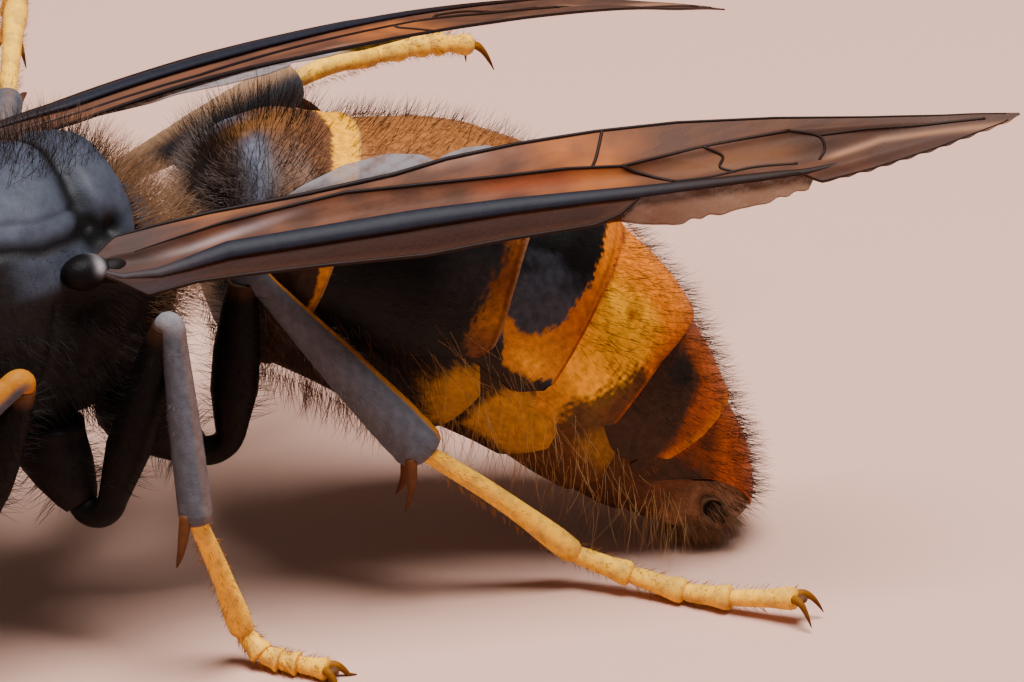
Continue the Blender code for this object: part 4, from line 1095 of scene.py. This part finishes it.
def wing_veins(side):
    """The strong veins, thin where they leave the root, and the branches between them."""
    dark, brown = srgb(30, 19, 18), srgb(34, 18, 13)
    t = np.linspace(-0.05, 0.79, 240)
    along = np.r_[t[0], t, t[-1]][:, None] * np.ones((1, VEIN_SIDES))
    slate = mix(srgb(50, 40, 42), srgb(32, 31, 40), step_up(0.0, 0.1, along))
    parts = [vein(side, t, table(THICK_VEIN, t), table(THICK_RADIUS, t),
                  mix(slate, brown, step_up(0.45, 0.7, along)), flat=0.4, sink=0.02)]
    for line, shift, radius, start, end, count, colour in (
            (SECOND_VEIN, 0.0, SECOND_RADIUS, 0.0, 0.55, 160, dark),
            (INNER_EDGE, -0.02, INNER_RADIUS, -0.04, 0.985, 260, dark),
            (OUTER_EDGE, 0.03, OUTER_RADIUS, -0.04, 0.985, 260, brown)):
        t = np.linspace(start, end, count)
        parts.append(vein(side, t, table(line, t) + shift, table(radius, t), colour))
    for *corners, radius in BRANCHES:
        path = spline(corners, 40)
        parts.append(vein(side, path[:, 0], path[:, 1], radius, srgb(40, 24, 18)))
    make(f"forewing_veins_{side}", *joined(parts), WING_VEIN, "wing")


def hindwing(side):
    """The thin hindwing under the forewing, with two rounded lobes beyond its inner edge, painted silvery as
    a reflection.
    """
    t = np.linspace(0.02, 0.76, 300)[:, None]
    scallop = 0.03 * np.sin(t * 190 + 2 * np.sin(t * 61)) * step_up(0.56, 0.6, t)
    offset = across_wing(table(HIND_INNER, t), table(HIND_OUTER, t) + scallop, 50)
    lobe = step_up(0.85, 1.25, offset) * window(t, 0.14, 0.2, 0.4, 0.45)

    def paint(points):
        grain = ripple(points, 0.3, 24)
        colour = mix(srgb(84, 46, 26), srgb(110, 74, 52), step_up(0.57, 0.66, t + 0.02 * grain) * 0.85)
        # Painted reflection: the lobes tinted silver, though their shape is real
        colour = mix(colour, SILVER * 0.78, lobe * np.clip(0.95 + 0.4 * grain, 0, 1))
        return with_density(colour, np.clip(0.8 - 0.14 * lobe + 0.1 * grain, 0.2, 1))

    membrane("hindwing", side, t, offset, pleat(t, offset) - WING_GAP + 0.1 * lobe, paint)


def wings():
    """Both pairs of wings."""
    for side in WING_PLACES:
        forewing(side)
        hindwing(side)


# Legs

def elbow_path(before, corner, after, reach, count):
    """Points of an arc round a corner, from reach before it to reach after it."""
    come, leave = unit(corner - before), unit(after - corner)
    half = math.acos(float(np.clip(-come @ leave, -1, 1))) / 2
    centre = corner + unit(leave - come) * (reach / math.cos(half))
    spoke = corner - come * reach - centre
    axis = unit(np.cross(come, leave))
    turn = np.linspace(0, math.pi - 2 * half, count)[:, None]
    return centre + spoke * np.cos(turn) + np.cross(axis, spoke) * np.sin(turn)


def even(path, count):
    """The same path as count points at equal distances."""
    path = np.asarray(path, float)
    place = np.r_[0, np.cumsum(np.linalg.norm(np.diff(path, axis=0), axis=1))]
    goal = np.linspace(0, place[-1], count)
    return np.stack([np.interp(goal, place, path[:, k]) for k in range(3)], axis=1)


def leg_points(name):
    """A leg's kind, its coxa top, hip, trochanter end, knee and ankle, and the line of its foot."""
    top, hip, knee, ankle = (np.array(point) for point in LEGS[name][:4])
    turn = hip + unit(hip - top) * TROCHANTER_LENGTH
    foot = [ankle - unit(ankle - knee) * 0.1, *(np.array(point) for point in LEGS[name][4])]
    return name.split("_")[0], top, hip, turn, knee, ankle, foot


def coxa(name, kind, top, hip):
    """The stout black cone that carries the leg, with its root sunk in the thorax."""
    path = even([top + (0, 0, 0.5), top, hip, hip + unit(hip - top) * 0.2], 40)
    radii = table(((0, 0.98), (0.3, 1.02), (0.6, 0.86), (0.9, 0.6), (1, 0.46)), np.linspace(0, 1, 40))
    points, faces = tube(path, COXA_RADIUS[kind] * radii, 40, up=(0, 1, 0))
    points[..., 2] = np.maximum(points[..., 2], 0.1)
    tint = SOOT * (1 + 0.3 * ripple(points, 0.6, 3))[..., None]
    make(f"leg_hip_{name}", points, faces, tint, LEG_SKIN, "cuticle_black", (f"coxa_{name}",))


def femur(name, kind, hip, turn, knee):
    """Trochanter and thigh, black with a paler end at the knee."""
    bend = elbow_path(hip, turn, knee, TROCHANTER_LENGTH - 0.1, 30)
    path = even(np.vstack([hip, bend, knee - unit(knee - turn) * 0.42]), 110)
    wide = FEMUR_RADIUS[kind]
    radii = table(((0, 0.3), (0.06, 0.35), (0.16, 0.33), (0.22, 0.34), (0.45, wide), (0.65, wide),
                   (0.85, wide * 0.8), (1, 0.31)), np.linspace(0, 1, 110))
    points, faces = tube(path, radii, 32, up=(0, 1, 0))
    pale = 0.8 if kind == "front" else 0.25
    colour = mix(BLACK, BROWN, step_up(0.9, 0.98, spread(points)[0]) * pale)
    colour = colour * (1 + 0.25 * ripple(points, 0.5, 4))[..., None]
    make(f"leg_thigh_{name}", points, faces, colour, LEG_SKIN, "cuticle_black", (f"femur_{name}",))


def tibia(name, kind, turn, knee, ankle):
    """The shin: slate and finely wrinkled, widest near its end, with an orange line along its outer edge."""
    hind, front = kind == "hind", kind == "front"
    rise, down = unit(knee - turn), unit(ankle - knee)
    path = even(np.vstack([knee - rise * 0.6, elbow_path(turn, knee, ankle, 0.42, 20), ankle]), 120)
    wide = TIBIA_RADIUS[kind]
    swell = wide - KNEE_RADIUS
    radii = table(((0, 0.24), (0.06, KNEE_RADIUS), (0.16, KNEE_RADIUS), (0.3, KNEE_RADIUS + swell * 0.2),
                   (0.55, KNEE_RADIUS + swell * 0.6), (0.82, wide * 0.95), (0.95, wide * 0.96),
                   (0.985, wide * 0.82), (1, wide * 0.5)), np.linspace(0, 1, 120))
    outer = unit(rise - down + np.array([0, 0.25 if hind else 0, 0]))
    points, faces = tube(path, radii, 48, squash=0.82 if hind else 0.95, up=tuple(outer))
    along, around = spread(points)
    crest = np.cos(np.radians(around - 90))
    wrinkle = ripple(points, 0.32, 12)
    relief = 0.018 * wrinkle * step_up(0.2, 0.4, along)
    points = points + (points - np.concatenate([path[:1], path, path[-1:]])[:, None]) * relief[..., None]
    line = step_up(0.86, 0.97, crest) * step_up(0.02, 0.12, along)
    if front:
        line = step_up(0.2, 0.7, crest) * step_up(0.5, 0.35, along)
    if kind == "mid":
        line = line * 0.15
    line_colour = AMBER * 0.9
    if name == "hind_right":
        line = step_up(0.1, 0.6, crest)
        line_colour = TAN * 1.1
    grey = TIBIA_GREY * (0.9 if front else 1.0)
    colour = layers(
        mix(grey * 0.8, grey, np.clip(0.6 + 0.8 * wrinkle, 0, 1)),
        (line_colour, line * 0.9),
        (TIBIA_CAP[kind], step_up(0.14, 0.05, along) * 0.85),
        (BROWN, step_up(0.97, 0.99, along) * 0.5))
    parts = [(points, faces, colour), *spurs(kind, ankle, down)]
    make(f"leg_shin_{name}", *joined(parts), LEG_SKIN, "cuticle_slate", (f"tibia_{name}",))


def spurs(kind, ankle, down):
    """The spurs under the end of a shin: one on a front leg, two on the others."""
    wide = TIBIA_RADIUS[kind]
    under = np.array([0, -0.3, -1.0])
    under = unit(under - down * (under @ down))
    sideways = np.cross(down, under)
    bow = np.linspace(0, 1, 16)[:, None]
    radii = table(((0, 0.15), (0.3, 0.13), (0.8, 0.06), (1, 0.012)), bow[:, 0])
    parts = []
    for sign in (1,) if kind == "front" else (-1, 1):
        root = ankle - down * 0.3 + sideways * (sign * wide * 0.45) + under * (wide * 0.5)
        lean = unit(down * SPUR_LEAN[kind][0] + sideways * (0.3 * sign) + under * SPUR_LEAN[kind][1])
        spur, faces = tube(root + lean * SPUR_LENGTH * bow + down * 0.12 * np.sin(math.pi * bow), radii, 12)
        parts.append((spur, faces, mix(srgb(92, 52, 28), srgb(56, 28, 14), spread(spur)[0])))
    return parts


def tarsus(name, foot):
    """Five yellow joints, each wider at its far end, and two brown claws with a pad between them."""
    parts = []
    for number, (start, end) in enumerate(zip(foot, foot[1:])):
        share = np.linspace(0, 1, 46 if number == 0 else 26)
        path = start + (end - start) * (share[:, None] * 1.03 - 0.01)
        if number == 0:
            path[:, 2] += 0.12 * np.sin(math.pi * share)
        shape = table(((0, 0.72), (0.12, 0.84), (0.6, 0.94), (0.86, 1.16), (0.96, 1.1), (1, 0.7)), share)
        points, faces = tube(path, TARSUS_RADIUS * shape * (0.92 if number == 4 else 1.0), 24)
        colour = layers(
            mix(STRAW, STRAW * 0.82, underneath(points, full=-0.6)),
            (AMBER, step_up(0.84, 0.98, spread(points)[0]) * 0.45),
            (TAN, np.clip(ripple(points, 0.7, 13), 0, 0.35)))
        parts.append((points, faces, colour))
    ahead = unit(foot[-1] - foot[-2])
    sideways = unit(np.cross(ahead, (0, 0, 1)))
    t = np.linspace(0, 1, 20)[:, None]
    radii = table(((0, 0.12), (0.4, 0.1), (0.8, 0.05), (1, 0.012)), t[:, 0])
    for sign in (-1, 1):
        root = foot[-1] - ahead * 0.12 + sideways * (sign * 0.1)
        path = root + ahead * (CLAW_LENGTH * t) + sideways * (sign * 0.34 * t)
        path = path + np.array([0, 0, 1.0]) * (0.1 * np.sin(math.pi * t) - 0.55 * t * t)
        path[:, 2] = np.maximum(path[:, 2], 0.02)
        claw, faces = tube(path, radii, 12)
        parts.append((claw, faces, mix(AMBER * 0.7, srgb(60, 26, 12), spread(claw)[0])))
    pad = blob(foot[-1] + ahead * 0.12 - np.array([0, 0, 0.02]), (0.15, 0.15, 0.1), rows=16, columns=20)
    points, faces, tint = joined([*parts, (*pad, BROWN * 0.8)])
    points[:, 2] = np.maximum(points[:, 2], ON_FLOOR)
    make(f"leg_foot_{name}", points, faces, tint, LEG_SKIN, "cuticle_yellow", (f"tarsus_{name}",))


def legs():
    """Six legs, each in four pieces."""
    for name in LEGS:
        kind, top, hip, turn, knee, ankle, foot = leg_points(name)
        coxa(name, kind, top, hip)
        femur(name, kind, hip, turn, knee)
        tibia(name, kind, turn, knee, ankle)
        tarsus(name, foot)


# Hair

# Hair of the gaster and the thorax: how many, (first and last place, least and greatest angle), lean
# (outward, back, down), length, radius, colour, bend, unruliness, and how many steps a hair has
GASTER_HAIR = {
    "down": (4600, (0.7, 15.9, 0, 105), (0.4, 1, 0), 0.24, 0.005, SOOT, 0.15, 0.2, 3),
    "front": (1100, (0.9, 2.4, 0, 78), (1, 0.05, 0), 1.05, 0.007, SOOT, 0.2, 0.16, 4),
    "back": (1000, (3.1, 8.5, 0, 50), (1, 0.35, 0), 0.6, 0.006, SOOT, 0.2, 0.2, 4),
    # Rim hair: partly its own tan and partly a painted silver highlight, for light behind the hairs
    "rim": (2600, (0.55, 1.35, 15, 130), (0.8, -0.8, 0), 0.5, 0.006, (TAN + SILVER) * 0.25, 0.2, 0.2, 3),
    "tail": (1800, (9.3, 16.0, 0, 68), (0.8, 0.75, 0), 0.62, 0.006, UMBER, 0.2, 0.2, 4),
    "fringe": (760, (5.4, 15.2, 88, 150), (0.75, 0.4, 0.45), 1.0, 0.006, TAN, 0.25, 0.22, 5),
    "belly": (1500, (1.2, 6.5, 100, 175), (1, 0.2, 0), 0.8, 0.007, BROWN, 0.25, 0.2, 4),
    "tip": (900, (15.2, 16.1, 60, 175), (0.5, 1, 0), 0.5, 0.008, TAN * 0.8, 0.2, 0.2, 3),
}
THORAX_HAIR = {
    "down": (3200, (-9.2, -1.0, 58, 150), (0.6, 0.5, 0), 0.22, 0.006, SOOT * 1.3, 0.2, 0.3, 3),
    "rear": (2600, (-2.4, -0.5, 0, 110), (0.8, 0.75, 0), 1.1, 0.006, BROWN, 0.22, 0.22, 4),
    "crown": (900, (-6.6, -2.2, 0, 26), (1, 0.1, 0), 1.1, 0.006, UMBER * 0.8, 0.25, 0.25, 4),
    "side": (3600, (-8.6, -1.2, 84, 172), (1, 0.1, 0.25), 0.85, 0.007, SOOT, 0.25, 0.25, 4),
    "front": (1500, (-9.2, -6.6, 0, 80), (1, 0, 0), 0.8, 0.007, SOOT, 0.25, 0.25, 4),
}
# Hair of the legs: length, radius, colour, lean along the limb and seed
LEG_HAIR = {
    "dark": (0.7, 0.007, SOOT, 0.3, 407),
    "shin": (0.14, 0.005, SILVER * 0.5, 1.2, 416),
    "foot": (0.22, 0.007, AMBER * 0.7, 1.0, 414),
}


def hairs(name, roots, grow, length, radius, tint, place, seed, bend=0.25, rows=3, wild=0.15):
    """Tapered hairs as solid mesh: each bends a little as it grows, and takes its place on the bake map."""
    rng = np.random.default_rng(seed)
    count = len(roots)
    grow = unit(grow + rng.normal(scale=wild, size=(count, 3)))
    length = (np.broadcast_to(length, (count,)) * rng.uniform(0.7, 1.15, count))[:, None]
    droop = unit(np.cross(grow, rng.normal(size=(count, 3)))) * bend
    side = unit(np.cross(grow, droop + 1e-6))
    over = np.cross(side, grow)
    turn = (np.arange(HAIR_SIDES) * 2 * math.pi / HAIR_SIDES)[None, :, None]
    ring = (side[:, None] * np.cos(turn) + over[:, None] * np.sin(turn)) * radius
    rings = []
    for level in np.linspace(-0.06, 1, rows)[:-1]:
        share = max(level, 0)
        centre = roots + grow * length * level + droop * length * share ** 2
        rings.append(centre[:, None] + ring * (1 - 0.75 * share))
    end = roots + (grow + droop) * length
    points = np.concatenate([*rings, end[:, None]], axis=1)
    points[..., 2] = np.maximum(points[..., 2], ON_FLOOR)
    per = points.shape[1]
    pattern = []
    for start in range(0, (rows - 2) * HAIR_SIDES, HAIR_SIDES):
        for k in range(HAIR_SIDES):
            a, b = start + k, start + (k + 1) % HAIR_SIDES
            pattern += [(a, b, b + HAIR_SIDES), (a, b + HAIR_SIDES, a + HAIR_SIDES)]
    last = (rows - 2) * HAIR_SIDES
    pattern += [(last + k, last + (k + 1) % HAIR_SIDES, per - 1) for k in range(HAIR_SIDES)]
    faces = (np.array(pattern)[None] + (np.arange(count) * per)[:, None, None]).reshape(-1, 3)
    k = np.arange(per)
    patch = np.stack([k % HAIR_SIDES / HAIR_SIDES, k // HAIR_SIDES / (rows - 1)], axis=1) * HAIR_PATCH
    uv = (place[:, None] * 0.99 + patch).reshape(-1, 2)
    shade = np.repeat(np.broadcast_to(tint, (count, 3))[:, None], per, axis=1)
    make(name, points, faces, shade, COAT, "hair", uv=uv)


def on_gaster(count, first, last, low, high, seed):
    """Random roots over the gaster between two places and two angles, on both sides."""
    rng = np.random.default_rng(seed)
    place = rng.uniform(first, last, count)
    angle = rng.uniform(low, high, count) * rng.choice((-1, 1), count)
    points, outward = AXIS.point(place, angle, np.full(count, -0.02))
    uv = np.stack([(angle % 360) / 360, place / AXIS.length], axis=1)
    return place, angle, points, outward, uv, AXIS.read(AXIS.ahead, place)


def on_thorax(count, first, last, low, high, seed):
    """Random roots over the thorax between two places and two angles, on both sides."""
    rng = np.random.default_rng(seed)
    y = rng.uniform(first, last, count)
    angle = rng.uniform(low, high, count) * rng.choice((-1, 1), count)
    points = section(THORAX, y, angle, flat=BELLY_FLAT)
    middle = section(THORAX, y, np.zeros(count)) * 0.5 + section(THORAX, y, np.full(count, 180.0)) * 0.5
    outward = unit(points - middle)
    uv = np.stack([(angle % 360) / 360, (y + 9.4) / 9.4], axis=1)
    return y, angle, points - outward * 0.12, outward, uv, np.array([0, 1.0, 0])


def tergite_colour(place, angle, points):
    """The shell's colour at each root."""
    side = np.abs(angle)
    out = np.zeros((len(place), 3))
    for number in range(1, 7):
        here = (place >= table(MARGINS[number - 1], side)) & (place < table(MARGINS[number], side))
        if here.any():
            out[here] = paint_tergite(number, place[here], angle[here], points[here])
    return out


def body_hair(part, groups, rooted, seed):
    """Hair over a part of the body, group by group; each takes two seeds, for its roots and its hairs."""
    for name, (count, where, lean, length, radius, tint, bend, wild, rows) in groups.items():
        place, angle, roots, out, uv, ahead = rooted(count, *where, seed)
        grow = out * lean[0] + ahead * lean[1] - np.array([0, 0, lean[2]])
        if (part, name) == ("gaster", "down"):
            tint = tergite_colour(place, angle, roots) * 0.7 + SOOT * 0.3
        elif (part, name) == ("gaster", "front"):
            grow = grow - 0.35 * ahead * (place < 1.6)[:, None]
        elif name == "fringe":
            share = np.random.default_rng(7).uniform(0, 1, count)
            tint = mix(srgb(150, 100, 50), srgb(200, 156, 100), share)
            length = np.random.default_rng(9).uniform(0.5, 1.5, count)
        elif name == "rear":
            tint = mix(BROWN, TAN, np.random.default_rng(8).uniform(0, 1, count))
        hairs(f"hair_{part}_{name}", roots, grow, length, radius, tint, uv, seed + 1, bend, rows, wild)
        seed += 2


def along_limb(start, end, radius, count, seed):
    """Random roots round a straight stretch of limb."""
    rng = np.random.default_rng(seed)
    share = rng.uniform(0, 1, count)
    ahead = unit(end - start)
    side = unit(np.cross(ahead, (0, 0, 1.0)))
    over = np.cross(side, ahead)
    turn = rng.uniform(0, 2 * math.pi, count)
    out = side * np.cos(turn)[:, None] + over * np.sin(turn)[:, None]
    roots = start + (end - start) * share[:, None] + out * (radius * 0.92)
    return roots, out, ahead, np.stack([turn / (2 * math.pi), share], axis=1)


def leg_hair():
    """Black hair on hips and thighs, fine down on the shins and stiff bristles on the feet."""
    groups = {coat: [] for coat in LEG_HAIR}
    seed = 300
    for name in LEGS:
        kind, top, hip, turn, knee, ankle, foot = leg_points(name)
        low, high, middle = turn * 0.75 + knee * 0.25, knee * 0.9 + turn * 0.1, knee * 0.6 + ankle * 0.4
        groups["dark"].append(along_limb(top, hip, COXA_RADIUS[kind] * 0.8, 260, seed))
        groups["dark"].append(along_limb(low, high, FEMUR_RADIUS[kind] * 0.9, 330, seed + 1))
        groups["shin"].append(along_limb(middle, ankle, TIBIA_RADIUS[kind] * 0.85, 420, seed + 2))
        for number, (start, end) in enumerate(zip(foot, foot[1:])):
            count = 260 if number == 0 else 90
            groups["foot"].append(along_limb(start, end, TARSUS_RADIUS, count, seed + 3 + number))
        seed += 20
    for coat, (length, radius, tint, lean, seed) in LEG_HAIR.items():
        roots, out, ahead, uv = zip(*groups[coat])
        grow = np.vstack([outward + lean * along for outward, along in zip(out, ahead)])
        uv = np.vstack([place * (1, UV_STRIP) + (0, UV_STRIP * (k % 17)) for k, place in enumerate(uv)])
        hairs(f"hair_leg_{coat}", np.vstack(roots), grow, length, radius, tint, uv, seed, bend=0.15)


def head_hair():
    """Short hair over the head, black behind and orange on the face."""
    rng = np.random.default_rng(500)
    count = 4200
    y = rng.uniform(-12.8, -9.8, count)
    angle = rng.uniform(-180, 180, count)
    roots = section(HEAD, y, angle, taper=CHIN_TAPER)
    out = unit(roots - HEAD_MIDDLE)
    uv = np.stack([(angle % 360) / 360, (y + 13) / 3.3], axis=1)
    tint = mix(SOOT, AMBER * 0.8, step_up(-11.9, -12.4, y))
    hairs("hair_head", roots - out * 0.03, out, 0.45, 0.010, tint, uv, 501, wild=0.25)


def hair():
    """Every group of hair on the body, the legs and the head."""
    body_hair("gaster", GASTER_HAIR, on_gaster, 101)
    body_hair("thorax", THORAX_HAIR, on_thorax, 201)
    leg_hair()
    head_hair()


# Stage

def add(name, data):
    """A new object of the scene that carries this data."""
    item = bpy.data.objects.new(name, data)
    bpy.context.scene.collection.objects.link(item)
    return item


def stage():
    """A plain pale floor, an even sky and one soft lamp."""
    mesh = bpy.data.meshes.new("floor")
    corners = [(x * FLOOR_REACH, y * FLOOR_REACH, 0) for x, y in ((-1, -1), (1, -1), (1, 1), (-1, 1))]
    mesh.from_pydata(corners, [], [(0, 1, 2, 3)])
    made, shader = new_material("floor_plain", 0.9, 0.1)
    feed(made, shader, {"Base Color": (*srgb(214, 168, 148), 1)})
    mesh.materials.append(made)
    add("floor", mesh)
    world = bpy.data.worlds.new("studio")
    world.use_nodes = True
    feed(world, world.node_tree.nodes["Background"], {"Color": (*srgb(236, 232, 230), 1), "Strength": 0.19})
    bpy.context.scene.world = world
    lamp("key", LAMP_PLACE, LAMP_SIZE, LAMP_POWER)


def lamp(name, place, size, power):
    """A round soft lamp that looks at the model."""
    data = bpy.data.lights.new(name, "AREA")
    data.energy = power
    data.shape = "DISK"
    data.size = size
    aim(add(name, data), np.array(place), unit(np.array(place) - np.array(LAMP_TARGET)))


def aim(item, place, back):
    """Put an item at a place in metres, looking away from the direction back."""
    right = unit(np.cross((0, 0, 1), back))
    matrix = np.eye(4)
    matrix[:3] = np.stack([right, np.cross(back, right), back, place], axis=1)
    item.matrix_world = Matrix(matrix.tolist())


def camera():
    """The photograph's camera."""
    data = bpy.data.cameras.new("camera")
    data.sensor_width = 36
    data.lens = CAMERA_LENS
    data.clip_start = 0.01
    data.clip_end = 10
    eye_point = add("camera", data)
    aim(eye_point, np.array(CAMERA_PLACE) * MM + SHIFT, unit(np.array(CAMERA_BACK)))
    bpy.context.scene.camera = eye_point


gaster()
thorax()
head()
wings()
legs()
hair()
stage()
camera()
